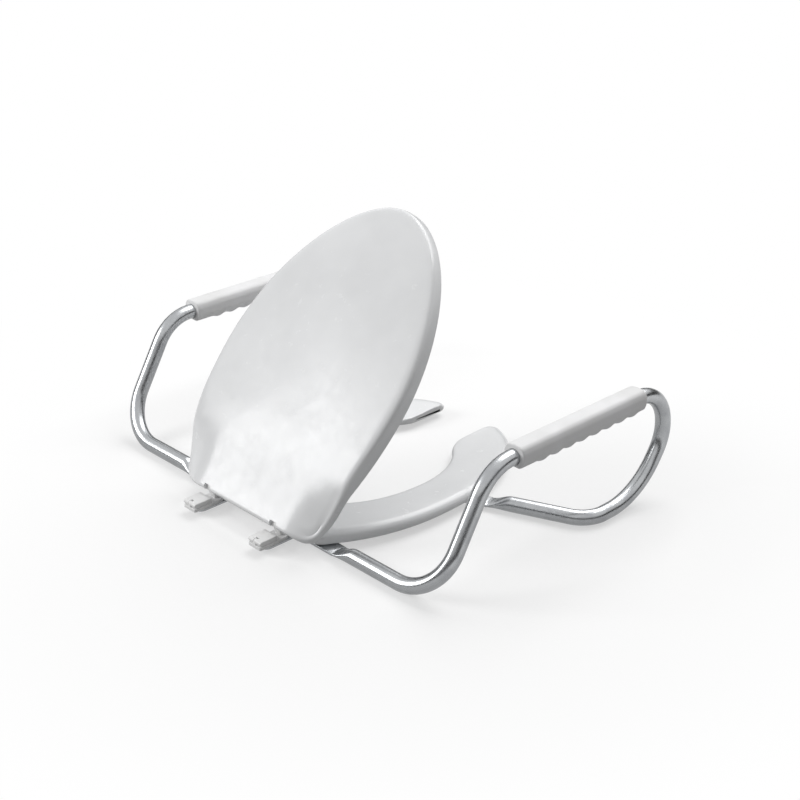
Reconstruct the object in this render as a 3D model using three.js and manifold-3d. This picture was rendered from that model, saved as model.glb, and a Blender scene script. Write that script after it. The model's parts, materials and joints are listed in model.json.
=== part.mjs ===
// Open-front toilet seat with a cover and a pair of tubular support arms.
// Millimetres, +Z up, +Y towards the open front of the seat, +X to the sitter's right.
// Heights are measured from the surface that the arms stand on. While the pieces are made, Y = 0 is
// the line through the two mounting bolts; the group is moved at the end so that its origin is
// the middle of its footprint.
import * as THREE from "three";
import { mergeVertices } from "three/addons/utils/BufferGeometryUtils.js";
import Module from "manifold-3d";

// ---------------------------------------------------------------- driving dimensions
const GAP = 0.3; // between pieces that touch
const ROUND = 16; // sides of a small round piece

// seat mounting
const BOLT_SPACING = 139.7; // the usual 5 1/2 inch spread
const BOLT_D = 8;
const BOLT_HEAD_D = 15;
const BOLT_HEAD_H = 5;
const BOLT_END_Z = 0.6;

// support arm: a bent tube whose two ends are pressed flat
const TUBE_D = 22.2;
const TUBE_WALL = 1.5;
const ARM_HALF_SPAN = 329; // from the middle of the seat to the tube's centre line
const GRIP_HEIGHT = 170; // centre line of the grip above the ground
const REAR_LEG_Y = 58.5;
const UPRIGHT_LEAN = 0.57; // forward travel of the rear upright for each unit of height
const REAR_BEND_R = 68;
const TOP_BEND_R = 65;
const FRONT_TOP_Y = 570; // corner where the grip's line meets the sloping front upright
const FRONT_BOTTOM_Y = 466; // corner where that upright meets the ground line
const FRONT_BEND_R = 110;
const FRONT_LEG_Y = 362; // corner where the front leg turns inwards
const FRONT_LEG_BEND_R = 44;
const FRONT_LEG_SWEEP = 0.43; // rearward travel of the front leg for each unit inwards
const FRONT_LEG_END_X = 150;
const STRAP_T = 4; // thickness of a pressed end
const STRAP_W = 26;
const STRAP_Z = 5; // underside of a pressed end, which is where a bowl's rim would be
const REAR_PRESS_X = 148; // where the rear end starts to open out into the round tube
const FRONT_PRESS_X = 194;
const PRESS_LENGTH = 32; // length over which flat becomes round
const WEEP_D = 4;
const TUBE_SIDES = 16;
const BORE_SIDES = 8;
const BEND_STEP = THREE.MathUtils.degToRad(10);

// grip sleeve
const GRIP_Y0 = 193;
const GRIP_LENGTH = 255;
const GRIP_HALF_W = 17;
const GRIP_TOP = 17;
const GRIP_UNDER = 14.8; // from the tube's centre line to the underside between two finger ridges
const GRIP_CHAMFER = 7;
const GRIP_END_ROUND = 2.5;
const RIDGE_HEIGHT = 2.8;
const RIDGE_COUNT = 8;
const RIDGE_PITCH = 26.7;
const RIDGE_START = 30; // from the grip's rear end

// hinge base under each side of the seat, and its flip cap
const BASE_W = 25.4;
const BASE_REAR_Y = -20.5;
const BASE_FRONT_Y = 36;
const BASE_PLATE_H = 5;
const HINGE_Y = 23;
const HINGE_Z = 29.5;
const KNUCKLE_R = 7;
const POST_W = 12;
const POST_FOOT_REAR = 2; // from under the hinge axis to the rear of the post's foot
const POST_ARC_END = THREE.MathUtils.degToRad(235);
const LUG_W = 10;
const PIN_D = 6;
const BUSH_WALL = 1.2;
const CAP_H = 7.7; // from the base plate to the cap's top
const CAP_FRONT_Y = 9.8;
const CAP_WALL = 1.6;
const CAP_KNUCKLE_W = 5;
const CAP_PIN_D = 2.4;

// seat ring
const RING_HALF_W = 181.5;
const RING_WIDEST_Y = 225;
const RING_FRONT = 258; // widest line to the virtual front of the outline
const RING_FRONT_POWER = 2.3;
const RING_REAR = 248;
const RING_REAR_Y = 40;
const RING_REAR_CORNER = 18;
const RING_UNDER_Z = 10;
const RING_TOP_REAR = 31;
const RING_TOP_SLOPE = 0.0228;
const OPENING_HALF_W = 112;
const OPENING_WIDEST_Y = 245;
const OPENING_FRONT = 148;
const OPENING_REAR = 155;
const OPENING_REAR_POWER = 2.3;
const FRONT_GAP = 99;
const TIP_INNER_Y = 402; // where the opening's edge reaches the front gap
const TIP_CORNER = 11;
const TIP_FILLET = 24; // how far the opening runs into the front gap's edge

// lid, in its own frame: u forward from the hinge axis, w up from it, as when closed
const LID_REST = THREE.MathUtils.degToRad(50); // how far the lid stands open at rest
const LID_HALF_W = 174;
const LID_WIDEST = 200;
const LID_FRONT = 265;
const LID_FRONT_POWER = 1.87;
const LID_REAR = 315;
const LID_REAR_U = -8;
const LID_CORNER = 28;
const LID_WALL = 3.6;
const LID_RIM = 4; // height of the skirt's lower edge
const RIM_DROP = 13; // how much lower it hangs at the rear corners, outside the ring
const CORNER_FALL = 15; // how far the top face comes down at the rear corners
const CORNER_X = 84; // where that fall starts
const LID_EDGE_REAR = 12; // height of the top face's edge at the rear
const LID_EDGE = 25; // from LID_RISE on
const LID_EDGE_TIP = 20;
const LID_RISE = 130;
const LID_FALL = 300; // from here the top face comes down towards the tip
const LID_CROWN = 3;
const LID_DRAFT = 9; // how far the skirt leans in
const POST_ROOM = 0.6; // beside the hinge post, in the lid's notch

// rubber bumpers
const RING_BUMPER_D = 18;
const LID_BUMPER_D = 14;
const STEM_D = 6;
const STEM_H = 4;
const RING_BUMPERS = { rear: [122, 106], front: [86, 432] };
const LID_BUMPER = [146, 190];

// ---------------------------------------------------------------- values tied to the ones above
const TUBE_R = TUBE_D / 2;
const BOLT_X = BOLT_SPACING / 2;
const STRAP_TOP = STRAP_Z + STRAP_T;
const BASE_Z = STRAP_TOP + GAP;
const PLATE_TOP = BASE_Z + BASE_PLATE_H;
const CAP_Z = PLATE_TOP + GAP;
const CAP_TOP = PLATE_TOP + CAP_H;
const LUG_OFFSET = POST_W / 2 + GAP + LUG_W / 2;
const UPRIGHT_TOP_Y = REAR_LEG_Y + UPRIGHT_LEAN * (GRIP_HEIGHT - TUBE_R);
const STRAP_HALF = STRAP_W / 2;
const BEND_RADII = [REAR_BEND_R, TOP_BEND_R, TOP_BEND_R, FRONT_BEND_R, FRONT_LEG_BEND_R];
const LEG_DIRECTION = new THREE.Vector3(-1, -FRONT_LEG_SWEEP, 0).normalize();
const LEG_START = new THREE.Vector3(ARM_HALF_SPAN, FRONT_LEG_Y, TUBE_R);
const pointOnFrontLeg = (x) =>
  LEG_START.clone().addScaledVector(LEG_DIRECTION, (x - ARM_HALF_SPAN) / LEG_DIRECTION.x);
const FRONT_LEG_END = pointOnFrontLeg(FRONT_LEG_END_X);
const ringTop = (y) => RING_TOP_REAR - RING_TOP_SLOPE * (y - RING_REAR_Y);
const ringTopInLid = ringTop(HINGE_Y) - HINGE_Z; // the same everywhere once the lid is closed
const lidTilt = Math.atan(RING_TOP_SLOPE);

// ---------------------------------------------------------------- materials
const plain = (color, roughness, metalness = 0) =>
  new THREE.MeshStandardMaterial({ color, roughness, metalness });
const STEEL = plain(0xb9bcbf, 0.3, 1);
const SEAT_PLASTIC = plain(0xe9eaeb, 0.25);
const HINGE_PLASTIC = plain(0xf0f0f0, 0.35);
const GRIP_PLASTIC = plain(0xededee, 0.55);
const NYLON = plain(0xd9d7cf, 0.5);
const RUBBER = plain(0xc9cacb, 0.8);

// ---------------------------------------------------------------- solids
const wasm = await Module();
wasm.setup();

// A closed geometry as a solid, for joining and cutting.
function solid(geometry) {
  const bare = geometry.clone();
  bare.deleteAttribute("normal");
  bare.deleteAttribute("uv");
  const merged = mergeVertices(bare, 1e-3);
  return new wasm.Manifold(
    new wasm.Mesh({
      numProp: 3,
      vertProperties: new Float32Array(merged.attributes.position.array),
      triVerts: new Uint32Array(merged.index.array),
    }),
  );
}

function geometryOf(body) {
  const mesh = body.getMesh();
  const geometry = new THREE.BufferGeometry();
  geometry.setAttribute("position", new THREE.BufferAttribute(mesh.vertProperties, 3));
  geometry.setIndex(new THREE.BufferAttribute(mesh.triVerts, 1));
  geometry.computeVertexNormals();
  return geometry;
}

const join = (first, ...rest) => rest.reduce((body, next) => body.add(next), first);
const cut = (first, ...rest) => rest.reduce((body, next) => body.subtract(next), first);

// A skin over a row of rings that have the same number of points. Each end is closed by a fan, or
// the last ring is joined to the first.
function loft(rings) {
  const count = rings[0].length;
  const points = rings.flat();
  const index = [];
  rings.slice(1).forEach((_, k) => {
    for (let i = 0; i < count; i++) {
      const a = k * count + i;
      const b = k * count + ((i + 1) % count);
      index.push(a, b, b + count, a, b + count, a + count);
    }
  });
  const closeEnd = (start, flip) => {
    const middle = new THREE.Vector3();
    for (let i = 0; i < count; i++) middle.addScaledVector(points[start + i], 1 / count);
    const centre = points.push(middle) - 1;
    for (let i = 0; i < count; i++) {
      const a = start + i;
      const b = start + ((i + 1) % count);
      index.push(...(flip ? [centre, b, a] : [centre, a, b]));
    }
  };
  closeEnd(0, true);
  closeEnd((rings.length - 1) * count, false);
  const geometry = new THREE.BufferGeometry().setFromPoints(points);
  geometry.setIndex(index);
  return geometry;
}

// A loft whose rings may run either way: it is turned inside out if its faces point inwards.
function loftSolid(rings) {
  const body = solid(loft(rings));
  return body.volume() > 0 ? body : solid(loft(rings.map((ring) => ring.slice().reverse())));
}

const box = (x0, x1, y0, y1, z0, z1) => {
  const geometry = new THREE.BoxGeometry(x1 - x0, y1 - y0, z1 - z0);
  geometry.translate((x0 + x1) / 2, (y0 + y1) / 2, (z0 + z1) / 2);
  return solid(geometry);
};

// An upright round bar. A bore takes fit = true, so that its flats stay outside the true circle.
function bar(x, y, z0, z1, diameter, sides = ROUND, fit = false) {
  const radius = diameter / 2 / (fit ? Math.cos(Math.PI / sides) : 1);
  const geometry = new THREE.CylinderGeometry(radius, radius, z1 - z0, sides);
  geometry.rotateX(Math.PI / 2);
  geometry.translate(x, y, (z0 + z1) / 2);
  return solid(geometry);
}

// The same, lying along X.
function crossBar(x0, x1, y, z, diameter, sides = ROUND, fit = false) {
  const radius = diameter / 2 / (fit ? Math.cos(Math.PI / sides) : 1);
  const geometry = new THREE.CylinderGeometry(radius, radius, x1 - x0, sides);
  geometry.rotateZ(Math.PI / 2);
  geometry.translate((x0 + x1) / 2, y, z);
  return solid(geometry);
}

// A plate: an outline in plan, raised from z0 to z1.
function plate(shape, z0, z1, curveSegments = 8) {
  const geometry = new THREE.ExtrudeGeometry(shape, {
    depth: z1 - z0,
    bevelEnabled: false,
    curveSegments,
  });
  geometry.translate(0, 0, z0);
  return solid(geometry);
}

// An outline in the Y-Z plane, given width along X.
function sidePlate(shape, x0, x1, curveSegments = 8) {
  const geometry = new THREE.ExtrudeGeometry(shape, {
    depth: x1 - x0,
    bevelEnabled: false,
    curveSegments,
  });
  // shape x -> Y, shape y -> Z, depth -> X
  geometry.applyMatrix4(
    new THREE.Matrix4().makeBasis(
      new THREE.Vector3(0, 1, 0),
      new THREE.Vector3(0, 0, 1),
      new THREE.Vector3(1, 0, 0),
    ),
  );
  geometry.translate(x0, 0, 0);
  return solid(geometry);
}

const mirrored = (body) => body.mirror([1, 0, 0]);

// ---------------------------------------------------------------- support arm
// Stations along the tube's centre line: straight runs between arcs of the given radii.
function tubeStations(corners, radii) {
  const stations = [];
  corners.slice(1, -1).forEach((corner, i) => {
    const back = corners[i].clone().sub(corner).normalize();
    const onward = corners[i + 2].clone().sub(corner).normalize();
    const opening = back.angleTo(onward);
    const radius = radii[i];
    const turn = Math.PI - opening;
    const start = corner.clone().addScaledVector(back, radius / Math.tan(opening / 2));
    const centre = corner
      .clone()
      .addScaledVector(back.clone().add(onward).normalize(), radius / Math.sin(opening / 2));
    const spoke = start.clone().sub(centre).normalize();
    const travel = back.clone().negate();
    const steps = Math.ceil(turn / BEND_STEP);
    for (let k = 0; k <= steps; k++) {
      const angle = (turn * k) / steps;
      const outward = spoke.clone().multiplyScalar(Math.cos(angle));
      outward.addScaledVector(travel, Math.sin(angle));
      const tangent = travel.clone().multiplyScalar(Math.cos(angle));
      tangent.addScaledVector(spoke, -Math.sin(angle));
      stations.push({ at: centre.clone().addScaledVector(outward, radius), tangent });
    }
  });
  return stations;
}

// Adds to each station a side direction that never twists about the tube.
function addFrames(stations) {
  let side = new THREE.Vector3(0, 0, 1).cross(stations[0].tangent).normalize();
  stations.forEach((station) => {
    side = side.clone().addScaledVector(station.tangent, -side.dot(station.tangent)).normalize();
    station.side = side;
    station.up = station.tangent.clone().cross(side);
  });
}

// One ring of tube surface. press goes from 0, round, to 1, pressed flat.
function tubeRing(station, radius, sides) {
  const press = station.press ?? 0;
  const level = new THREE.Vector3(0, 0, 1).cross(station.tangent).normalize();
  const ring = [];
  for (let i = 0; i < sides; i++) {
    const angle = (2 * Math.PI * i) / sides;
    const direction = station.side.clone().multiplyScalar(Math.cos(angle));
    direction.addScaledVector(station.up, Math.sin(angle));
    const point = station.at.clone().addScaledVector(direction, radius);
    if (press > 0) {
      const across = direction.dot(level);
      const rise = direction.z;
      const flat = station.at.clone();
      flat.addScaledVector(level, Math.sign(across) * Math.abs(across) ** 0.7 * STRAP_HALF);
      flat.z = STRAP_Z + STRAP_T / 2 + (Math.sign(rise) * Math.abs(rise) ** 0.4 * STRAP_T) / 2;
      point.lerp(flat, press);
    }
    ring.push(point);
  }
  return ring;
}

const ease = (t) => t * t * (3 - 2 * t);

function armTube() {
  const rearRound = REAR_PRESS_X + PRESS_LENGTH;
  const frontRound = FRONT_PRESS_X + PRESS_LENGTH;
  const corners = [
    new THREE.Vector3(rearRound, REAR_LEG_Y, TUBE_R),
    new THREE.Vector3(ARM_HALF_SPAN, REAR_LEG_Y, TUBE_R),
    new THREE.Vector3(ARM_HALF_SPAN, UPRIGHT_TOP_Y, GRIP_HEIGHT),
    new THREE.Vector3(ARM_HALF_SPAN, FRONT_TOP_Y, GRIP_HEIGHT),
    new THREE.Vector3(ARM_HALF_SPAN, FRONT_BOTTOM_Y, TUBE_R),
    LEG_START,
    pointOnFrontLeg(frontRound),
  ];
  const bends = tubeStations(corners, BEND_RADII);
  const pressSteps = [1, 0.8, 0.6, 0.4, 0.2, 0];
  const rear = pressSteps.map((share) => ({
    at: new THREE.Vector3(rearRound - PRESS_LENGTH * share, REAR_LEG_Y, TUBE_R),
    tangent: new THREE.Vector3(1, 0, 0),
    press: ease(share),
  }));
  const front = pressSteps
    .slice()
    .reverse()
    .map((share) => ({
      at: pointOnFrontLeg(frontRound - PRESS_LENGTH * share),
      tangent: LEG_DIRECTION.clone(),
      press: ease(share),
    }));
  const stations = [...rear, ...bends, ...front];
  addFrames(stations);
  const skin = loftSolid(stations.map((station) => tubeRing(station, TUBE_R, TUBE_SIDES)));
  const hollow = stations.filter((station) => !station.press);
  const bore = loftSolid(hollow.map((station) => tubeRing(station, TUBE_R - TUBE_WALL, BORE_SIDES)));
  const weep = bar(rearRound + WEEP_D * 2, REAR_LEG_Y, -TUBE_R, TUBE_R, WEEP_D, 8);
  return cut(skin, bore, weep);
}

// The rear pressed end: inwards along the leg, then back under the hinge base to the bolt.
function rearStrap() {
  const half = BASE_W / 2 - 1;
  const outer = BOLT_X + half;
  const inner = BOLT_X - half;
  const shape = new THREE.Shape();
  shape.moveTo(REAR_PRESS_X + 1, REAR_LEG_Y - STRAP_HALF);
  shape.lineTo(REAR_PRESS_X + 1, REAR_LEG_Y + STRAP_HALF);
  shape.lineTo(inner + half, REAR_LEG_Y + STRAP_HALF);
  shape.quadraticCurveTo(inner, REAR_LEG_Y + STRAP_HALF, inner, REAR_LEG_Y);
  shape.lineTo(inner, 0);
  shape.absarc(BOLT_X, 0, half, Math.PI, 2 * Math.PI, false);
  shape.lineTo(outer, REAR_LEG_Y - STRAP_HALF);
  const body = plate(shape, STRAP_Z, STRAP_TOP);
  return cut(body, bar(BOLT_X, 0, 0, STRAP_TOP + 1, BOLT_D + 2 * GAP, ROUND, true));
}

// The front pressed end: straight on from the leg, with a round end.
function frontStrap() {
  const start = pointOnFrontLeg(FRONT_PRESS_X + 1);
  const length = start.distanceTo(FRONT_LEG_END);
  const shape = new THREE.Shape();
  shape.moveTo(-length, STRAP_HALF);
  shape.lineTo(-length, -STRAP_HALF);
  shape.absarc(-STRAP_HALF, 0, STRAP_HALF, -Math.PI / 2, Math.PI / 2, false);
  const geometry = new THREE.ExtrudeGeometry(shape, {
    depth: STRAP_T,
    bevelEnabled: false,
    curveSegments: 8,
  });
  geometry.rotateZ(Math.atan2(LEG_DIRECTION.y, LEG_DIRECTION.x));
  geometry.translate(FRONT_LEG_END.x, FRONT_LEG_END.y, STRAP_Z);
  return solid(geometry);
}

const supportArm = () => join(armTube(), rearStrap(), frontStrap());

// ---------------------------------------------------------------- grip
// Section of the sleeve about the tube's axis: flat sides with chamfers, and a scalloped underside.
function gripOutline(under) {
  const side = GRIP_HALF_W;
  const c = GRIP_CHAMFER;
  const half = [
    [0, GRIP_TOP],
    [side - c, GRIP_TOP - 1.2],
    [side - c * 0.4, GRIP_TOP - c * 0.55],
    [side, GRIP_TOP - c * 1.4],
    [side, -c * 0.6],
    [side - c * 0.35, c * 0.5 - under],
    [side - c * 1.1, -under],
  ];
  const other = half.slice(1).map(([x, z]) => [-x, z]);
  return [...half, ...other.reverse()];
}

function grip() {
  const rings = [];
  const ringAt = (y, under, draw = 0) =>
    gripOutline(under).map(([x, z]) => {
      const share = 1 - draw / Math.hypot(x, z);
      return new THREE.Vector3(ARM_HALF_SPAN + x * share, y, GRIP_HEIGHT + z * share);
    });
  const end = GRIP_Y0 + GRIP_LENGTH;
  const soften = GRIP_END_ROUND * 0.3;
  rings.push(ringAt(GRIP_Y0, GRIP_UNDER, GRIP_END_ROUND));
  rings.push(ringAt(GRIP_Y0 + soften, GRIP_UNDER, soften));
  rings.push(ringAt(GRIP_Y0 + GRIP_END_ROUND, GRIP_UNDER));
  const steps = 6 * RIDGE_COUNT;
  for (let k = 0; k <= steps; k++) {
    const along = (k / 6) * RIDGE_PITCH;
    const ridge = RIDGE_HEIGHT * Math.sin((Math.PI * k) / 6) ** 2;
    rings.push(ringAt(GRIP_Y0 + RIDGE_START + along, GRIP_UNDER + ridge));
  }
  rings.push(ringAt(end - GRIP_END_ROUND, GRIP_UNDER));
  rings.push(ringAt(end - soften, GRIP_UNDER, soften));
  rings.push(ringAt(end, GRIP_UNDER, GRIP_END_ROUND));
  const boreRadius = (TUBE_R + GAP) / Math.cos(Math.PI / TUBE_SIDES);
  const bore = new THREE.CylinderGeometry(boreRadius, boreRadius, GRIP_LENGTH + 2, TUBE_SIDES);
  bore.translate(ARM_HALF_SPAN, GRIP_Y0 + GRIP_LENGTH / 2, GRIP_HEIGHT);
  return cut(loftSolid(rings), solid(bore));
}

// ---------------------------------------------------------------- hinge base, cap and fasteners
const CAP_AXIS_Y = BASE_REAR_Y + CAP_H / 2;
const CAP_AXIS_Z = CAP_TOP - CAP_H / 2;

function hingeBase() {
  const half = BASE_W / 2;
  const corner = 3;
  const outline = new THREE.Shape();
  outline.moveTo(BOLT_X - half + corner, BASE_REAR_Y);
  outline.lineTo(BOLT_X + half - corner, BASE_REAR_Y);
  outline.quadraticCurveTo(BOLT_X + half, BASE_REAR_Y, BOLT_X + half, BASE_REAR_Y + corner);
  outline.lineTo(BOLT_X + half, BASE_FRONT_Y - half);
  outline.absarc(BOLT_X, BASE_FRONT_Y - half, half, 0, Math.PI, false);
  outline.lineTo(BOLT_X - half, BASE_REAR_Y + corner);
  outline.quadraticCurveTo(BOLT_X - half, BASE_REAR_Y, BOLT_X - half + corner, BASE_REAR_Y);
  const foot = plate(outline, BASE_Z, PLATE_TOP);

  const post = new THREE.Shape();
  // its rear side leans forward, out of the way of a lid that is thrown right back
  post.moveTo(HINGE_Y - POST_FOOT_REAR, PLATE_TOP - 1);
  post.lineTo(HINGE_Y + KNUCKLE_R * 1.5, PLATE_TOP - 1);
  post.absarc(HINGE_Y, HINGE_Z, KNUCKLE_R, 0, POST_ARC_END, false);
  const upright = sidePlate(post, BOLT_X - POST_W / 2, BOLT_X + POST_W / 2, 10);

  const knuckleHalf = CAP_KNUCKLE_W / 2;
  const knuckle = join(
    crossBar(BOLT_X - knuckleHalf, BOLT_X + knuckleHalf, CAP_AXIS_Y, CAP_AXIS_Z, CAP_H - 2 * GAP),
    box(
      BOLT_X - knuckleHalf,
      BOLT_X + knuckleHalf,
      CAP_AXIS_Y - CAP_H / 2 + GAP,
      CAP_AXIS_Y + CAP_H / 2 - GAP,
      PLATE_TOP - 1,
      CAP_AXIS_Z,
    ),
  );
  return cut(
    join(foot, upright, knuckle),
    bar(BOLT_X, 0, 0, HINGE_Z, BOLT_D + 2 * GAP, ROUND, true),
    crossBar(BOLT_X - BASE_W, BOLT_X + BASE_W, HINGE_Y, HINGE_Z, PIN_D + 2 * GAP, ROUND, true),
    crossBar(BOLT_X - BASE_W, BOLT_X + BASE_W, CAP_AXIS_Y, CAP_AXIS_Z, CAP_PIN_D + 2 * GAP, 8, true),
  );
}

function boltCap() {
  const half = BASE_W / 2;
  const profile = new THREE.Shape();
  profile.moveTo(CAP_AXIS_Y, CAP_Z);
  profile.lineTo(CAP_FRONT_Y, CAP_Z);
  profile.lineTo(CAP_FRONT_Y, CAP_TOP - 1.5);
  profile.quadraticCurveTo(CAP_FRONT_Y, CAP_TOP, CAP_FRONT_Y - 1.5, CAP_TOP);
  profile.lineTo(CAP_AXIS_Y, CAP_TOP);
  profile.absarc(CAP_AXIS_Y, CAP_AXIS_Z, CAP_H / 2 - GAP, Math.PI / 2, (3 * Math.PI) / 2, false);
  const shell = sidePlate(profile, BOLT_X - half, BOLT_X + half);
  const hollow = box(
    BOLT_X - half + CAP_WALL,
    BOLT_X + half - CAP_WALL,
    CAP_AXIS_Y + CAP_H / 2 + CAP_WALL,
    CAP_FRONT_Y - CAP_WALL,
    0,
    CAP_TOP - CAP_WALL,
  );
  const notch = box(
    BOLT_X - CAP_KNUCKLE_W / 2 - GAP,
    BOLT_X + CAP_KNUCKLE_W / 2 + GAP,
    BASE_REAR_Y - 1,
    CAP_AXIS_Y + CAP_H / 2 + GAP,
    0,
    CAP_TOP + 1,
  );
  const pinHole = crossBar(0, BOLT_SPACING, CAP_AXIS_Y, CAP_AXIS_Z, CAP_PIN_D + 2 * GAP, 8, true);
  return cut(shell, hollow, notch, pinHole);
}

const capPin = () =>
  crossBar(
    BOLT_X - BASE_W / 2 + GAP,
    BOLT_X + BASE_W / 2 - GAP,
    CAP_AXIS_Y,
    CAP_AXIS_Z,
    CAP_PIN_D,
    8,
  );

function mountingBolt() {
  const head = bar(BOLT_X, 0, PLATE_TOP + GAP, PLATE_TOP + GAP + BOLT_HEAD_H, BOLT_HEAD_D, 24);
  const shank = bar(BOLT_X, 0, BOLT_END_Z, PLATE_TOP + BOLT_HEAD_H / 2, BOLT_D);
  return join(head, shank);
}

const LID_LUG_X = BOLT_X + LUG_OFFSET;
const RING_LUG_X = BOLT_X - LUG_OFFSET;

const hingePin = () =>
  crossBar(RING_LUG_X - LUG_W / 2, LID_LUG_X + LUG_W / 2, HINGE_Y, HINGE_Z, PIN_D);

// A sleeve on the pin inside a lug. In the lid's lug it grips the pin and holds the lid open.
function bushing(x) {
  const outside = PIN_D + 2 * GAP + 2 * BUSH_WALL;
  return cut(
    crossBar(x - LUG_W / 2 + GAP, x + LUG_W / 2 - GAP, HINGE_Y, HINGE_Z, outside),
    crossBar(x - LUG_W, x + LUG_W, HINGE_Y, HINGE_Z, PIN_D + 2 * GAP, ROUND, true),
  );
}

const lugBore = (x) =>
  crossBar(
    x - LUG_W,
    x + LUG_W,
    HINGE_Y,
    HINGE_Z,
    PIN_D + 4 * GAP + 2 * BUSH_WALL,
    ROUND,
    true,
  );

// ---------------------------------------------------------------- seat ring
const power = (value, exponent) => Math.sign(value) * Math.abs(value) ** exponent;

// Points along a line of points, at the given shares of its length.
function respaced(points, shares) {
  const path = new THREE.CurvePath();
  points.slice(1).forEach((point, i) => path.add(new THREE.LineCurve(points[i], point)));
  return shares.map((share) => path.getPoint(share));
}

// Outer edge of the ring's right half, from the front gap round to the middle of the rear.
function ringOuterEdge() {
  const points = [];
  const front = (angle) =>
    new THREE.Vector2(
      RING_HALF_W * power(Math.cos(angle), 2 / RING_FRONT_POWER),
      RING_WIDEST_Y + RING_FRONT * power(Math.sin(angle), 2 / RING_FRONT_POWER),
    );
  const steps = 40;
  for (let k = 0; k <= steps; k++) {
    const point = front((Math.PI / 2) * (1 - k / steps));
    if (point.x > FRONT_GAP / 2 + TIP_CORNER) points.push(point);
  }
  const tip = points[0];
  points.unshift(
    new THREE.Vector2(FRONT_GAP / 2, tip.y - TIP_CORNER),
    new THREE.Vector2(FRONT_GAP / 2 + TIP_CORNER * 0.3, tip.y - TIP_CORNER * 0.25),
  );
  for (let k = 1; k <= steps; k++) {
    const angle = (Math.PI / 2) * (k / steps);
    const y = RING_WIDEST_Y - RING_REAR * Math.sin(angle);
    if (y > RING_REAR_Y + RING_REAR_CORNER)
      points.push(new THREE.Vector2(RING_HALF_W * Math.cos(angle), y));
  }
  const rear = points.at(-1);
  const corner = new THREE.QuadraticBezierCurve(
    rear,
    new THREE.Vector2(rear.x - RING_REAR_CORNER * 0.35, RING_REAR_Y),
    new THREE.Vector2(rear.x - RING_REAR_CORNER * 1.4, RING_REAR_Y),
  );
  points.push(...corner.getPoints(6).slice(1), new THREE.Vector2(0, RING_REAR_Y));
  return points;
}

// Inner edge of the same half.
function ringInnerEdge() {
  const points = [];
  const steps = 40;
  for (let k = 0; k <= steps; k++) {
    const angle = (Math.PI / 2) * (1 - k / steps);
    const x = OPENING_HALF_W * Math.cos(angle);
    const y = OPENING_WIDEST_Y + OPENING_FRONT * Math.sin(angle);
    if (x > FRONT_GAP / 2 + TIP_FILLET) points.push(new THREE.Vector2(x, y));
  }
  const fillet = new THREE.QuadraticBezierCurve(
    new THREE.Vector2(FRONT_GAP / 2, TIP_INNER_Y),
    new THREE.Vector2(FRONT_GAP / 2, TIP_INNER_Y - TIP_FILLET),
    points[0],
  );
  points.unshift(...fillet.getPoints(6).slice(0, -1));
  for (let k = 1; k <= steps; k++) {
    const angle = (Math.PI / 2) * (k / steps);
    points.push(
      new THREE.Vector2(
        OPENING_HALF_W * power(Math.cos(angle), 2 / OPENING_REAR_POWER),
        OPENING_WIDEST_Y - OPENING_REAR * power(Math.sin(angle), 2 / OPENING_REAR_POWER),
      ),
    );
  }
  return points;
}

// One section of the ring between an inner and an outer point. shrink draws it in at the tips.
function ringSection(inner, outer, shrink = 0) {
  const across = outer.clone().sub(inner).normalize();
  const crest = 14;
  const profile = [
    [0, 3, 0],
    [0, 5, 1],
    [2, 1.6, 1],
    [6, 0.8, 1],
    [16, 0.4, 1],
  ];
  const top = (inner.y + outer.y) / 2;
  const height = ringTop(top);
  const at = (edge, direction, inset, z) => {
    const point = edge.clone().addScaledVector(across, direction * (inset + shrink));
    return new THREE.Vector3(point.x, point.y, z);
  };
  const under = RING_UNDER_Z + shrink * 0.7;
  const crown = height - shrink * 0.7;
  const ring = [at(inner, 1, 3, under), at(inner, 1, 0, under + profile[0][1])];
  profile.slice(1).forEach(([inset, drop]) => ring.push(at(inner, 1, inset, crown - drop - 1)));
  ring.push(at(outer, -1, crest + 6, crown));
  ring.push(at(outer, -1, crest - 4, crown - 0.6));
  ring.push(at(outer, -1, crest - 9, crown - 2.4));
  ring.push(at(outer, -1, 1.6, crown - 5.4));
  ring.push(at(outer, -1, 0, crown - 9));
  ring.push(at(outer, -1, 0, under + 3));
  ring.push(at(outer, -1, 3, under));
  return ring;
}

function seatRing() {
  const shares = [0, 0.004, 0.012, 0.02, 0.03, 0.045, 0.065, 0.09, 0.12, 0.15, 0.185];
  for (let share = 0.22; share < 0.7; share += 0.035) shares.push(share);
  for (let share = 0.7; share < 0.82; share += 0.01) shares.push(share);
  shares.push(0.85, 0.9, 0.95, 1);
  const outer = respaced(ringOuterEdge(), shares);
  const inner = respaced(ringInnerEdge(), shares);
  const endRound = [4, 1.6, 0.4];
  const half = outer.map((point, k) => ringSection(inner[k], point, endRound[k]));
  const other = half
    .slice(0, -1)
    .map((ring) => ring.map((point) => new THREE.Vector3(-point.x, point.y, point.z)))
    .reverse();
  const band = loftSolid([...half, ...other]);

  const lug = (x) =>
    join(
      crossBar(x - LUG_W / 2, x + LUG_W / 2, HINGE_Y, HINGE_Z, 2 * KNUCKLE_R),
      box(
        x - LUG_W / 2,
        x + LUG_W / 2,
        HINGE_Y,
        RING_REAR_Y + 12,
        HINGE_Z - KNUCKLE_R,
        ringTop(RING_REAR_Y) - 3,
      ),
    );
  const lugs = [RING_LUG_X, -RING_LUG_X].map(lug);
  const bores = [RING_LUG_X, -RING_LUG_X].map(lugBore);
  const sockets = Object.values(RING_BUMPERS).flatMap(([x, y]) =>
    [x, -x].map((side) =>
      bar(side, y, 0, RING_UNDER_Z + STEM_H + GAP, STEM_D + 2 * GAP, 12, true),
    ),
  );
  return cut(join(band, ...lugs), ...bores, ...sockets);
}

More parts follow.
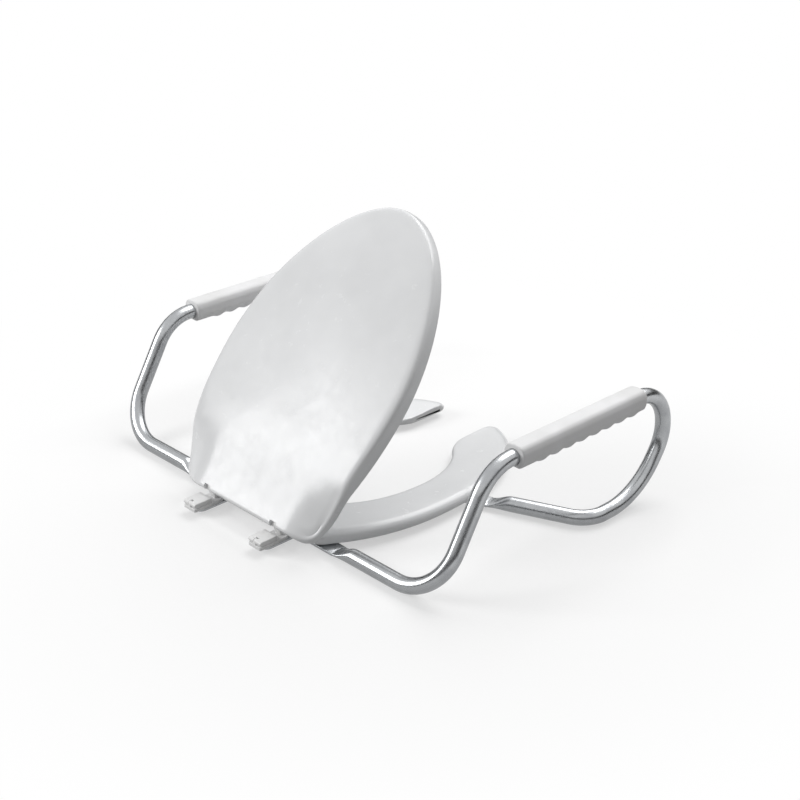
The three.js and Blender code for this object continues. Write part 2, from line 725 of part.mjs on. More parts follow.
function ringBumper([x, y]) {
  return join(
    bar(x, y, STRAP_Z + GAP, RING_UNDER_Z - GAP, RING_BUMPER_D),
    bar(x, y, RING_UNDER_Z - 1, RING_UNDER_Z + STEM_H, STEM_D, 12),
  );
}

// ---------------------------------------------------------------- lid
// Right half of the lid's outline, from the tip to the middle of the rear edge.
function lidHalfOutline() {
  const points = [];
  const frontSteps = 14;
  const sideSteps = 8;
  for (let k = 0; k <= frontSteps; k++) {
    const angle = (Math.PI / 2) * (1 - k / frontSteps);
    const x = LID_HALF_W * power(Math.cos(angle), 2 / LID_FRONT_POWER);
    const u = LID_WIDEST + LID_FRONT * power(Math.sin(angle), 2 / LID_FRONT_POWER);
    points.push(new THREE.Vector2(x, u));
  }
  const cornerAngle = Math.asin((LID_WIDEST - LID_REAR_U - LID_CORNER) / LID_REAR);
  for (let k = 1; k <= sideSteps; k++) {
    const angle = (cornerAngle * k) / sideSteps;
    const x = LID_HALF_W * Math.cos(angle);
    points.push(new THREE.Vector2(x, LID_WIDEST - LID_REAR * Math.sin(angle)));
  }
  const side = points.at(-1);
  const corner = new THREE.QuadraticBezierCurve(
    side,
    new THREE.Vector2(side.x - LID_CORNER * 0.3, LID_REAR_U),
    new THREE.Vector2(side.x - LID_CORNER * 1.3, LID_REAR_U),
  );
  points.push(...corner.getPoints(6).slice(1));
  const start = points.at(-1).x;
  [0.8, 0.5, 0.25, 0].forEach((share) => points.push(new THREE.Vector2(start * share, LID_REAR_U)));
  return points;
}

// The whole outline, clockwise as seen from above.
function lidOutline() {
  const half = lidHalfOutline();
  const other = half.slice(1, -1).map((point) => new THREE.Vector2(-point.x, point.y));
  return [...half, ...other.reverse()];
}

// The outline moved inwards, by each point's own distance.
function inset(outline, distances) {
  const count = outline.length;
  return outline.map((point, i) => {
    const along = outline[(i + 1) % count].clone().sub(outline[(i + count - 1) % count]);
    const inwards = new THREE.Vector2(along.y, -along.x).normalize();
    return point.clone().addScaledVector(inwards, distances[i]);
  });
}

const smooth = (value, from, to) => ease(THREE.MathUtils.clamp((value - from) / (to - from), 0, 1));

// Height of the top face in the lid's frame, before its crown is added.
const topFace = ({ x, y: u }) =>
  LID_EDGE_REAR +
  (LID_EDGE - LID_EDGE_REAR) * smooth(u, LID_REAR_U, LID_RISE) -
  (LID_EDGE - LID_EDGE_TIP) * smooth(u, LID_FALL, LID_WIDEST + LID_FRONT) -
  CORNER_FALL * smooth(Math.abs(x), CORNER_X, CORNER_X + 66) * (1 - smooth(u, 0, 95));

// Height of the skirt's lower edge.
const rimAt = ({ x, y: u }) =>
  LID_RIM - RIM_DROP * smooth(Math.abs(x), CORNER_X + 8, CORNER_X + 38) * (1 - smooth(u, 20, 80));

function lidShell() {
  const outline = lidOutline();
  const middle = new THREE.Vector2(0, LID_WIDEST);
  const rims = outline.map(rimAt);
  const heights = outline.map((point, i) => topFace(point) - rims[i]);
  const lean = heights.map((height) => Math.min(LID_DRAFT, height * 0.45));
  // A ring of the skirt: in by a share of its lean, and up by a share of its height.
  const skirt = (share, rise, wall, drop) =>
    inset(outline, lean.map((distance) => distance * share + wall)).map(
      ({ x, y }, i) => new THREE.Vector3(x, y, rims[i] + (heights[i] - drop) * rise),
    );
  // Rings of the top face, drawn together towards its middle and crowned.
  const face = (wall, drop, shares) => {
    const border = inset(outline, lean.map((distance) => distance * 2.3 + wall));
    return shares.map((share) =>
      border.map((point) => {
        const at = point.clone().lerp(middle, share);
        const crown = LID_CROWN * (1 - (1 - share) ** 2);
        return new THREE.Vector3(at.x, at.y, topFace(at) + crown - drop);
      }),
    );
  };
  const outside = [
    skirt(0, 0, 0, 0),
    skirt(0.35, 0.35, 0, 0),
    skirt(0.75, 0.7, 0, 0),
    skirt(1.05, 0.86, 0, 0),
    skirt(1.55, 0.96, 0, 0),
    ...face(0, 0, [0, 0.12, 0.26, 0.4, 0.55, 0.7, 0.85]),
  ];
  const inside = [
    skirt(0, 0, LID_WALL * 0.8, 0),
    skirt(0.5, 0.55, LID_WALL, LID_WALL),
    skirt(1.1, 0.9, LID_WALL, LID_WALL),
    ...face(LID_WALL * 0.4, LID_WALL, [0, 0.2, 0.4, 0.6, 0.8]),
  ];
  return loftSolid([...inside.reverse(), ...outside]);
}

// The lid as it is made: level, with the hinge axis at the origin.
function lid() {
  const shift = (body) => body.translate([0, -HINGE_Y, -HINGE_Z]);
  const lugSide = LUG_W / 2;
  const lug = (x) =>
    join(
      shift(crossBar(x - lugSide, x + lugSide, HINGE_Y, HINGE_Z, 2 * KNUCKLE_R)),
      box(x - lugSide, x + lugSide, -KNUCKLE_R + 0.5, KNUCKLE_R + 4, 3, LID_EDGE_REAR - 1),
    );
  const notchHalf = POST_W / 2 + POST_ROOM;
  const notch = (x) =>
    box(x - notchHalf, x + notchHalf, LID_REAR_U - 1, -POST_ROOM, -KNUCKLE_R, LID_EDGE);
  const room = (x) => {
    const width = lugSide + POST_ROOM;
    const diameter = 2 * (KNUCKLE_R + 1.5 * GAP);
    return shift(crossBar(x - width, x + width, HINGE_Y, HINGE_Z, diameter, 24, true));
  };
  const [bumperX, bumperU] = LID_BUMPER;
  const boss = (x) => bar(x, bumperU, LID_RIM + 1, LID_EDGE - LID_WALL / 2, LID_BUMPER_D);
  const socket = (x) =>
    bar(x, bumperU, 0, LID_RIM + 1 + STEM_H + GAP, STEM_D + 2 * GAP, 12, true);
  const sides = [1, -1];
  return cut(
    join(
      lidShell(),
      ...sides.map((side) => lug(side * LID_LUG_X)),
      ...sides.map((side) => boss(side * bumperX)),
    ),
    ...sides.map((side) => room(side * RING_LUG_X)),
    ...sides.map((side) => room(side * BOLT_X)),
    ...sides.map((side) => notch(side * BOLT_X)),
    ...sides.map((side) => shift(lugBore(side * LID_LUG_X))),
    ...sides.map((side) => socket(side * bumperX)),
  );
}

// Plugged into the lid's boss, and just clear of the ring when the lid is closed.
function lidBumper() {
  const [x, u] = LID_BUMPER;
  return join(
    bar(x, u, ringTopInLid + GAP, LID_RIM + 1 - GAP, LID_BUMPER_D),
    bar(x, u, LID_RIM, LID_RIM + 1 + STEM_H, STEM_D, 12),
  );
}

// ---------------------------------------------------------------- assembly
const seat = new THREE.Group();

function add(parent, name, body, material) {
  const mesh = new THREE.Mesh(geometryOf(body), material);
  mesh.name = name;
  parent.add(mesh);
  return mesh;
}

// The right-hand piece and its mirror image.
function addPair(parent, name, body, material) {
  add(parent, name + "_right", body, material);
  add(parent, name + "_left", mirrored(body), material);
}

addPair(seat, "support_arm", supportArm(), STEEL);
addPair(seat, "grip", grip(), GRIP_PLASTIC);
addPair(seat, "hinge_base", hingeBase(), HINGE_PLASTIC);
addPair(seat, "bolt_cap", boltCap(), HINGE_PLASTIC);
addPair(seat, "cap_pin", capPin(), STEEL);
addPair(seat, "mounting_bolt", mountingBolt(), STEEL);
addPair(seat, "hinge_pin", hingePin(), STEEL);
add(seat, "seat_ring", seatRing(), SEAT_PLASTIC);
addPair(seat, "ring_bushing", bushing(RING_LUG_X), NYLON);
Object.entries(RING_BUMPERS).forEach(([place, spot]) =>
  addPair(seat, place + "_ring_bumper", ringBumper(spot), RUBBER),
);

const lidGroup = new THREE.Group();
lidGroup.position.set(0, HINGE_Y, HINGE_Z);
lidGroup.rotation.x = LID_REST - lidTilt;
seat.add(lidGroup);
add(lidGroup, "lid", lid(), SEAT_PLASTIC);
addPair(lidGroup, "lid_bumper", lidBumper(), RUBBER);
addPair(
  lidGroup,
  "friction_bushing",
  bushing(LID_LUG_X).translate([0, -HINGE_Y, -HINGE_Z]),
  NYLON,
);

// The origin goes to the middle of the footprint, on the ground.
seat.updateMatrixWorld(true);
const footprint = new THREE.Box3().setFromObject(seat).getCenter(new THREE.Vector3());
seat.position.set(0, -footprint.y, 0);

export default seat;
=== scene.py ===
import json
import math

import bmesh
import bpy
from bpy.props import FloatProperty, PointerProperty, StringProperty
from bpy.types import Operator, Panel, PropertyGroup
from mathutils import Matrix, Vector

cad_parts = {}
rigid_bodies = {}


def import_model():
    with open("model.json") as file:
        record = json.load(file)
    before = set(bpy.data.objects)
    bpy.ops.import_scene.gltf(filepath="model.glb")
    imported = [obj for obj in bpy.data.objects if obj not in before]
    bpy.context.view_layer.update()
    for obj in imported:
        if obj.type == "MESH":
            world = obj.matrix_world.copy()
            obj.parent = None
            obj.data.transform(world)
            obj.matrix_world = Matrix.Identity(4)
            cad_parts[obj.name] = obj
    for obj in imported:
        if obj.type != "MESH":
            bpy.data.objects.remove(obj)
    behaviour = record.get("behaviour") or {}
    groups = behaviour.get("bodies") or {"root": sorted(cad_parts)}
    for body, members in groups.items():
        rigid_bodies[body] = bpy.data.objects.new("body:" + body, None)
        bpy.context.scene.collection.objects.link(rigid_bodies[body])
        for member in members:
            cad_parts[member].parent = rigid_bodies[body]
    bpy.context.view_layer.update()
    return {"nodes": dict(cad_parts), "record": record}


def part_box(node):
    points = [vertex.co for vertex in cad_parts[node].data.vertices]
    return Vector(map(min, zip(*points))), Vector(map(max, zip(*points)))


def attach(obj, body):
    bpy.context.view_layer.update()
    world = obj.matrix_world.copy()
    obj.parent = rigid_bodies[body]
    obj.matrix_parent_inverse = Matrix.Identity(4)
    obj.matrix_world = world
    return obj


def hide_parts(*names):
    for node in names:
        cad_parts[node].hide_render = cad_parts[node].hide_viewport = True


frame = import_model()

bl_info = {
    "name": "Toilet seat with support arms",
    "version": (1, 0, 0),
    "blender": (4, 5, 0),
    "location": "View3D > Sidebar > Seat",
    "description": "Builds the visible surfaces of an open-front toilet seat with a pair of support arms",
    "category": "Object",
}

MM = 0.001  # shapes are worked out in millimetres and turned to metres as meshes are made
SIDES = {"right": 1, "left": -1}

# Places taken from the frame, in millimetres. Y is counted from the line of the mounting bolts.
BOLT_LOW, BOLT_HIGH = (Vector(corner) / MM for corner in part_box("mounting_bolt_right"))
BOLT_X = (BOLT_LOW.x + BOLT_HIGH.x) / 2
BOLT_LINE = (BOLT_LOW.y + BOLT_HIGH.y) / 2
JOINTS = {joint["name"]: joint for joint in frame["record"]["behaviour"]["joints"]}
HINGE = Vector(JOINTS["ring_hinge"]["pos_m"]) / MM
HINGE_Y, HINGE_Z = HINGE.y - BOLT_LINE, HINGE.z
CAP_AXIS = Vector(JOINTS["cap_hinge_right"]["pos_m"]) / MM
CAP_Y, CAP_Z = CAP_AXIS.y - BOLT_LINE, CAP_AXIS.z


def low(node):
    """The lowest corner of a CAD node in millimetres, Y from the bolt line."""
    corner = Vector(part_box(node)[0]) / MM
    return Vector((corner.x, corner.y - BOLT_LINE, corner.z))


def high(node):
    """The highest corner of a CAD node, in the same way."""
    corner = Vector(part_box(node)[1]) / MM
    return Vector((corner.x, corner.y - BOLT_LINE, corner.z))


# ---------------------------------------------------------------- settings


class ArmSettings(PropertyGroup):
    """The bent tube and its pressed ends."""

    tube: FloatProperty(name="Tube", description="Diameter of the arm's tube, mm", default=22.2, min=10)
    span: FloatProperty(
        name="Half span", description="From the middle to the tube's centre line, mm", default=329
    )
    grip_height: FloatProperty(
        name="Grip height", description="Centre line of the grip above the ground, mm", default=170
    )
    strap: FloatProperty(name="Strap width", description="Width of a pressed end, mm", default=26)
    steel: StringProperty(name="Steel", description="Colour of the tube, sRGB hex", default="B4B6B8")


class GripSettings(PropertyGroup):
    """The moulded sleeve on each arm."""

    half_width: FloatProperty(name="Half width", description="Half the sleeve's width, mm", default=17)
    top: FloatProperty(name="Top", description="Ridge of the sleeve above the tube's axis, mm", default=17)
    ridge: FloatProperty(name="Ridge height", description="Height of a finger ridge, mm", default=2.8)
    pitch: FloatProperty(name="Ridge pitch", description="From one finger ridge to the next, mm", default=26.7)
    plastic: StringProperty(name="Plastic", description="Colour of the sleeve, sRGB hex", default="EDEDEE")


class SeatSettings(PropertyGroup):
    """The ring, the lid and their hinges."""

    ring_half_width: FloatProperty(
        name="Ring half width", description="Half the ring's width, mm", default=181.5
    )
    lid_half_width: FloatProperty(name="Lid half width", description="Half the lid's width, mm", default=174)
    lid_wall: FloatProperty(name="Lid wall", description="Thickness of the lid, mm", default=3.6)
    gloss_plastic: StringProperty(
        name="Gloss plastic", description="Colour of the ring and lid, sRGB hex", default="EDEEEF"
    )
    hinge_plastic: StringProperty(
        name="Hinge plastic", description="Colour of the hinge bases and caps, sRGB hex", default="F1F1F1"
    )


class StageSettings(PropertyGroup):
    """The floor, lamps and camera."""

    key: FloatProperty(name="Key lamp", description="Power of the key lamp, W", default=54, min=0)
    top: FloatProperty(name="Top lamp", description="Power of the overhead lamp, W", default=52, min=0)
    ambient: FloatProperty(name="Ambient", description="Strength of the even light", default=0.3, min=0)
    floor: StringProperty(name="Floor", description="Colour of the floor, sRGB hex", default="FFFFFF")


# ---------------------------------------------------------------- meshes


def skin(rings, closed=True):
    """Vertices and faces over a row of rings with the same number of points, with flat ends."""
    count = len(rings[0])
    vertices = [point for ring in rings for point in ring]
    faces = []
    for k in range(len(rings) - 1):
        for i in range(count):
            j = (i + 1) % count
            a, b = k * count, (k + 1) * count
            faces.append((a + i, a + j, b + j, b + i))
    if closed:
        last = (len(rings) - 1) * count
        faces.append(tuple(reversed(range(count))))
        faces.append(tuple(range(last, last + count)))
    return vertices, faces


def make_mesh(name, shells, uv_rows=None):
    """One mesh of several closed shells, its faces turned outwards."""
    vertices, faces = [], []
    for shell_vertices, shell_faces in shells:
        base = len(vertices)
        vertices += shell_vertices
        faces += [tuple(base + i for i in face) for face in shell_faces]
    mesh = bpy.data.meshes.new(name)
    mesh.from_pydata([(v.x * MM, (v.y + BOLT_LINE) * MM, v.z * MM) for v in vertices], [], faces)
    if uv_rows:
        layer = mesh.uv_layers.new(name="along")
        for loop in mesh.loops:
            layer.data[loop.index].uv = uv_rows[loop.vertex_index]
    return mesh


def soften(mesh, angle):
    """Smooth shading, with edges sharper than the angle kept crisp."""
    work = bmesh.new()
    work.from_mesh(mesh)
    bmesh.ops.recalc_face_normals(work, faces=work.faces)
    for face in work.faces:
        face.smooth = True
    for edge in work.edges:
        edge.smooth = not edge.is_manifold or edge.calc_face_angle(0) < angle
    work.to_mesh(mesh)
    work.free()


def place(name, mesh, material, body, slot, *nodes, angle=math.radians(32)):
    """Puts a mesh in the scene as the visible form of CAD nodes."""
    soften(mesh, angle)
    mesh.materials.clear()
    mesh.materials.append(material)
    piece = bpy.data.objects.new(name, mesh)
    bpy.context.scene.collection.objects.link(piece)
    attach(piece, body)
    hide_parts(*nodes)
    return piece


def carve(mesh, cutters):
    """The mesh with closed cutters taken away."""
    scene = bpy.context.scene.collection.objects
    body = bpy.data.objects.new("carve_body", mesh)
    tool = bpy.data.objects.new("carve_tool", make_mesh("carve_tool", cutters))
    soften(mesh, math.pi)
    soften(tool.data, math.pi)
    scene.link(body)
    scene.link(tool)
    modifier = body.modifiers.new("carve", "BOOLEAN")
    modifier.object = tool
    modifier.operation = "DIFFERENCE"
    modifier.solver = "EXACT"
    modifier.use_self = True
    modifier.use_hole_tolerant = False
    graph = bpy.context.evaluated_depsgraph_get()
    result = bpy.data.meshes.new_from_object(body.evaluated_get(graph))
    bpy.data.objects.remove(body)
    bpy.data.objects.remove(tool)
    return result


def merge(name, meshes):
    """One mesh from several."""
    work = bmesh.new()
    for mesh in meshes:
        work.from_mesh(mesh)
    result = bpy.data.meshes.new(name)
    work.to_mesh(result)
    work.free()
    return result


def inset(outline, distances):
    """A closed outline moved inwards by each point's own distance. Either way round."""
    area = sum(a[0] * b[1] - b[0] * a[1] for a, b in zip(outline, outline[1:] + outline[:1]))
    turn = 1 if area > 0 else -1
    moved = []
    for i, point in enumerate(outline):
        along = outline[(i + 1) % len(outline)] - outline[i - 1]
        inwards = Vector((-along.y, along.x)).normalized() * turn
        moved.append(point + inwards * distances[i])
    return moved


def eased(corners, reach, steps=4):
    """A closed outline with every corner rounded, over at most reach to each side of it."""
    outline = []
    for i, corner in enumerate(corners):
        before, after = corners[i - 1] - corner, corners[(i + 1) % len(corners)] - corner
        start = corner + before.normalized() * min(reach, before.length * 0.45)
        end = corner + after.normalized() * min(reach, after.length * 0.45)
        for k in range(steps + 1):
            t = k / steps
            outline.append(start * (1 - t) ** 2 + corner * 2 * t * (1 - t) + end * t * t)
    return outline


def arc(centre, radius, start, end, steps):
    """Points on an arc in the outline's plane, angles in degrees."""
    return [
        Vector((centre[0] + radius * math.cos(a), centre[1] + radius * math.sin(a)))
        for a in (math.radians(start + (end - start) * k / steps) for k in range(steps + 1))
    ]


BEVEL_STEPS = 4


def slab(outline, lo, hi, bevel, to_space):
    """A closed outline raised from lo to hi, its two rims rounded by bevel."""
    rings = []
    for k in range(BEVEL_STEPS + 1):
        angle = math.pi / 2 * k / BEVEL_STEPS
        rings.append((bevel * (1 - math.sin(angle)), lo + bevel * (1 - math.cos(angle))))
    rings += [(distance, lo + hi - level) for distance, level in reversed(rings)]
    count = len(outline)
    return skin([
        [to_space(p, level) for p in inset(outline, [distance] * count)] for distance, level in rings
    ])


def plan(point, level):
    """An outline seen from above."""
    return Vector((point.x, point.y, level))


def profile(point, level):
    """An outline seen from the side, with its width along X."""
    return Vector((level, point.x, point.y))


def box(x, y, z):
    """A plain box between pairs of limits, as a cutter."""
    corners = [Vector((x[a], y[b])) for a, b in ((0, 0), (1, 0), (1, 1), (0, 1))]
    return skin([[plan(p, level) for p in corners] for level in z])


def disc(centre, radius, lo, hi, bevel, sides=48):
    """An upright round bar."""
    outline = arc(centre, radius, 0, 360, sides)[:-1]
    return slab(outline, lo, hi, bevel, plan)


def mirrored(mesh):
    """The mesh's mirror image in the plane between the two sides."""
    twin = mesh.copy()
    for vertex in twin.vertices:
        vertex.co.x = -vertex.co.x
    twin.flip_normals()
    return twin


def ease(t):
    """A smooth rise from 0 to 1."""
    t = min(1, max(0, t))
    return t * t * (3 - 2 * t)


# ---------------------------------------------------------------- materials


def linear(code):
    """An sRGB hex colour as linear RGBA."""
    parts = [int(code[i : i + 2], 16) / 255 for i in (0, 2, 4)]
    return [p / 12.92 if p <= 0.04045 else ((p + 0.055) / 1.055) ** 2.4 for p in parts] + [1]


def add(tree, kind, settings=(), links=()):
    """Adds a node. Lower-case settings are its own properties and the others its input sockets."""
    node = tree.nodes.new(kind)
    for key, value in dict(settings).items():
        if isinstance(key, str) and key[0].islower():
            setattr(node, key, value)
        else:
            node.inputs[key].default_value = value
    for key, source in dict(links).items():
        tree.links.new(source, node.inputs[key])
    return node


def material(name):
    """A material with a Principled shader: its tree and the shader."""
    made = bpy.data.materials.new(name)
    made.use_nodes = True
    return made, made.node_tree, made.node_tree.nodes["Principled BSDF"]


def moulded(name, colour, shade, ior, gloss, grain_mm, grain_depth_mm, ripple_mm, ripple_depth_mm):
    """A moulded plastic or rubber.

    colour drifts to shade in broad soft patches, gloss is the least and the most roughness, the
    grain is the tool's texture, and the ripple is the slow waviness that a cooling part takes on.
    """
    made, tree, shader = material(name)
    place_on = add(tree, "ShaderNodeTexCoord").outputs["Object"]
    grain_size, ripple_size, patch_size = (1 / (size * MM) for size in (grain_mm, ripple_mm, 90))
    patch = add(tree, "ShaderNodeTexNoise", {"Scale": patch_size, "Detail": 3.0}, {"Vector": place_on})
    ripple = add(tree, "ShaderNodeTexNoise", {"Scale": ripple_size, "Detail": 1.0}, {"Vector": place_on})
    grain = add(tree, "ShaderNodeTexNoise", {"Scale": grain_size, "Detail": 2.0}, {"Vector": place_on})
    rub = add(
        tree, "ShaderNodeTexNoise", {"Scale": 55.0, "Detail": 8.0, "Roughness": 0.7}, {"Vector": place_on}
    )
    tint = add(
        tree,
        "ShaderNodeMix",
        {"data_type": "RGBA", 6: linear(colour), 7: linear(shade)},
        {0: add(tree, "ShaderNodeMapRange", {1: 0.4, 2: 0.75}, {0: patch.outputs[0]}).outputs[0]},
    )
    rough = add(tree, "ShaderNodeMapRange", {1: 0.35, 2: 0.7, 3: gloss[0], 4: gloss[1]}, {0: rub.outputs[0]})
    wavy = add(
        tree,
        "ShaderNodeBump",
        {"Strength": 1.0, "Distance": ripple_depth_mm * MM},
        {"Height": ripple.outputs[0]},
    )
    textured = add(
        tree,
        "ShaderNodeBump",
        {"Strength": 1.0, "Distance": grain_depth_mm * MM},
        {"Height": grain.outputs[0], "Normal": wavy.outputs[0]},
    )
    shader.inputs["IOR"].default_value = ior
    tree.links.new(tint.outputs[2], shader.inputs["Base Color"])
    tree.links.new(rough.outputs[0], shader.inputs["Roughness"])
    tree.links.new(textured.outputs[0], shader.inputs["Normal"])
    return made


def drawn_steel(name, colour, shade, gloss, along_uv):
    """Stainless steel polished along its length: fine lines that stretch the highlights lengthwise."""
    made, tree, shader = material(name)
    coordinates = add(tree, "ShaderNodeTexCoord")
    source = coordinates.outputs["UV" if along_uv else "Object"]
    # the lines are 0.6 mm apart, coarser than real polishing lines so that they show
    lines_scale = (12, 1 / (0.6 * MM), 1) if along_uv else (12, 1600, 1600)
    stretched = add(tree, "ShaderNodeMapping", {"Scale": lines_scale}, {"Vector": source})
    lines = add(
        tree, "ShaderNodeTexNoise", {"Scale": 1.0, "Detail": 2.0}, {"Vector": stretched.outputs[0]}
    )
    smear = add(
        tree,
        "ShaderNodeTexNoise",
        {"Scale": 28.0, "Detail": 6.0, "Roughness": 0.65},
        {"Vector": coordinates.outputs["Object"]},
    )
    both = add(
        tree, "ShaderNodeMath", {"operation": "MULTIPLY_ADD", 1: 0.5}, {0: lines.outputs[0], 2: smear.outputs[0]}
    )
    tint = add(
        tree,
        "ShaderNodeMix",
        {"data_type": "RGBA", 6: linear(colour), 7: linear(shade)},
        {0: add(tree, "ShaderNodeMapRange", {1: 0.45, 2: 0.7}, {0: smear.outputs[0]}).outputs[0]},
    )
    rough = add(
        tree, "ShaderNodeMapRange", {1: 0.5, 2: 1.0, 3: gloss[0], 4: gloss[1]}, {0: both.outputs[0]}
    )
    bump = add(
        tree, "ShaderNodeBump", {"Strength": 1.0, "Distance": 0.002 * MM}, {"Height": lines.outputs[0]}
    )
    shader.inputs["Metallic"].default_value = 1.0
    tree.links.new(tint.outputs[2], shader.inputs["Base Color"])
    tree.links.new(rough.outputs[0], shader.inputs["Roughness"])
    tree.links.new(bump.outputs[0], shader.inputs["Normal"])
    return made


def finishes():
    """The object's materials, made once and shared."""
    if "seat_gloss" in STORE:
        return STORE
    seat, grip, arm = (getattr(bpy.context.scene, key) for key in ("seat_seat", "seat_grip", "seat_arm"))
    # Polypropylene from a polished tool: bright, slightly wavy reflections and faint rub marks.
    STORE["seat_gloss"] = moulded(
        "polypropylene_polished_mould", seat.gloss_plastic, "E6E7E8", 1.49, (0.16, 0.3), 1.4, 0.006, 14, 0.05
    )
    # Acetal hinge parts from a satin tool: a softer highlight and a very fine even grain.
    STORE["hinge_satin"] = moulded(
        "acetal_satin_mould", seat.hinge_plastic, "E7E7E6", 1.48, (0.3, 0.45), 0.8, 0.015, 9, 0.02
    )
    # Vinyl sleeve from a spark-eroded tool: matt and lightly pebbled, duller where hands rub it.
    STORE["grip_matt"] = moulded(
        "vinyl_spark_eroded_mould", grip.plastic, "E0E0DF", 1.52, (0.48, 0.66), 1.1, 0.06, 22, 0.03
    )
    # Nylon turned from rod: warm white and dull.
    STORE["nylon"] = moulded("nylon_turned", "DCD9CF", "D0CCC0", 1.53, (0.4, 0.55), 0.6, 0.02, 8, 0.01)
    # Soft rubber from a blasted tool: no clear highlight.
    STORE["rubber"] = moulded("rubber_blasted_mould", "C8C9CA", "B9BABB", 1.52, (0.7, 0.85), 0.7, 0.05, 12, 0.02)
    # Stainless tube, polished lengthwise: mirror-like bands that run along every bend.
    STORE["tube"] = drawn_steel("stainless_tube_polished", arm.steel, "A2A4A7", (0.2, 0.34), True)
    # Stainless rod and bolts as drawn: a little duller.
    STORE["rod"] = drawn_steel("stainless_rod_drawn", "BDBFC1", "A6A8AA", (0.22, 0.38), False)
    return STORE


STORE = {}

# ---------------------------------------------------------------- support arms

REAR_LEG_Y = 58.5
LEAN = 0.57  # forward travel of the rear upright for each unit of height
FRONT_TOP_Y, FRONT_BOTTOM_Y, FRONT_LEG_Y = 570, 466, 362
BEND_RADII = (68, 65, 65, 110, 44)
LEG_SWEEP = Vector((-1, -0.43, 0)).normalized()
LEG_END_X = 150
PRESS_REAR_X, PRESS_FRONT_X, PRESS_LENGTH = 148, 194, 32
STRAP_Z, STRAP_T = 5, 4
TUBE_SIDES = 48
BEND_STEP = math.radians(3)
TAB_HALF = 11.7  # half the width of the tab that turns back to the bolt
UP = Vector((0, 0, 1))


def on_front_leg(arm, x):
    """A point on the front leg's centre line."""
    start = Vector((arm.span, FRONT_LEG_Y, arm.tube / 2))
    return start + LEG_SWEEP * ((x - arm.span) / LEG_SWEEP.x)


def arm_stations(arm):
    """(place, direction, press) along the tube, from its rear end to its front end."""
    radius = arm.tube / 2
    rear_round = PRESS_REAR_X + PRESS_LENGTH
    front_round = PRESS_FRONT_X + PRESS_LENGTH
    top_y = REAR_LEG_Y + LEAN * (arm.grip_height - radius)
    corners = [
        Vector((rear_round, REAR_LEG_Y, radius)),
        Vector((arm.span, REAR_LEG_Y, radius)),
        Vector((arm.span, top_y, arm.grip_height)),
        Vector((arm.span, FRONT_TOP_Y, arm.grip_height)),
        Vector((arm.span, FRONT_BOTTOM_Y, radius)),
        Vector((arm.span, FRONT_LEG_Y, radius)),
        on_front_leg(arm, front_round),
    ]
    steps = 16
    stations = []
    for k in range(steps + 1):
        share = 1 - k / steps
        at = Vector((rear_round - PRESS_LENGTH * share, REAR_LEG_Y, radius))
        stations.append((at, Vector((1, 0, 0)), ease(share)))
    for before, corner, after, bend in zip(corners, corners[1:], corners[2:], BEND_RADII):
        back, onward = (before - corner).normalized(), (after - corner).normalized()
        opening = back.angle(onward)
        turn = math.pi - opening
        start = corner + back * (bend / math.tan(opening / 2))
        centre = corner + (back + onward).normalized() * (bend / math.sin(opening / 2))
        spoke = (start - centre).normalized()
        count = math.ceil(turn / BEND_STEP)
        for k in range(count + 1):
            angle = turn * k / count
            outward = spoke * math.cos(angle) - back * math.sin(angle)
            tangent = -back * math.cos(angle) - spoke * math.sin(angle)
            stations.append((centre + outward * bend, tangent, 0))
    for k in range(steps + 1):
        share = k / steps
        stations.append((on_front_leg(arm, front_round - PRESS_LENGTH * share), LEG_SWEEP, ease(share)))
    return stations


def arm_tube(arm):
    """The tube's skin with its rows of lengthwise coordinates."""
    radius = arm.tube / 2
    rings, rows = [], []
    side = UP.cross(Vector((1, 0, 0)))
    travelled, last = 0.0, None
    for at, tangent, press in arm_stations(arm):
        side = (side - tangent * side.dot(tangent)).normalized()
        across_ring = tangent.cross(side)
        level = UP.cross(tangent).normalized()
        travelled += (at - last).length if last else 0
        last = at
        ring = []
        for i in range(TUBE_SIDES):
            angle = 2 * math.pi * i / TUBE_SIDES
            direction = side * math.cos(angle) + across_ring * math.sin(angle)
            point = at + direction * radius
            if press:
                across = direction.dot(level)
                rise = direction.z
                flat = at + level * math.copysign(abs(across) ** 0.7, across) * arm.strap / 2
                flat.z = STRAP_Z + STRAP_T / 2 * (1 + math.copysign(abs(rise) ** 0.35, rise))
                point = point.lerp(flat, press)
            ring.append(point)
            rows.append((travelled * MM, angle * radius * MM))
        rings.append(ring)
    return skin(rings), rows


def strap_ends(arm):
    """The two pressed ends: the tab that turns back to the bolt, and the round front end."""
    half = arm.strap / 2
    inner, outer = BOLT_X - TAB_HALF, BOLT_X + TAB_HALF
    tab = [Vector((PRESS_REAR_X + 2, REAR_LEG_Y + half))]
    tab += arc((inner + half, REAR_LEG_Y), half, 90, 180, 10)
    tab += arc((BOLT_X, 0), TAB_HALF, 180, 360, 24)
    tab += arc((outer + 3, REAR_LEG_Y - half - 3), 3, 180, 90, 5)
    tab += [Vector((PRESS_REAR_X + 2, REAR_LEG_Y - half))]
    start = on_front_leg(arm, PRESS_FRONT_X + 2)
    end = on_front_leg(arm, LEG_END_X)
    heading = math.degrees(math.atan2(LEG_SWEEP.y, LEG_SWEEP.x))
    centre = end - LEG_SWEEP * half
    across = Vector((-LEG_SWEEP.y, LEG_SWEEP.x)) * half
    tip = [start.xy - across]
    tip += arc(centre.xy, half, heading - 90, heading + 90, 20)
    tip += [start.xy + across]
    return [slab(shape, STRAP_Z, STRAP_Z + STRAP_T, 0.8, plan) for shape in (tab, tip)]


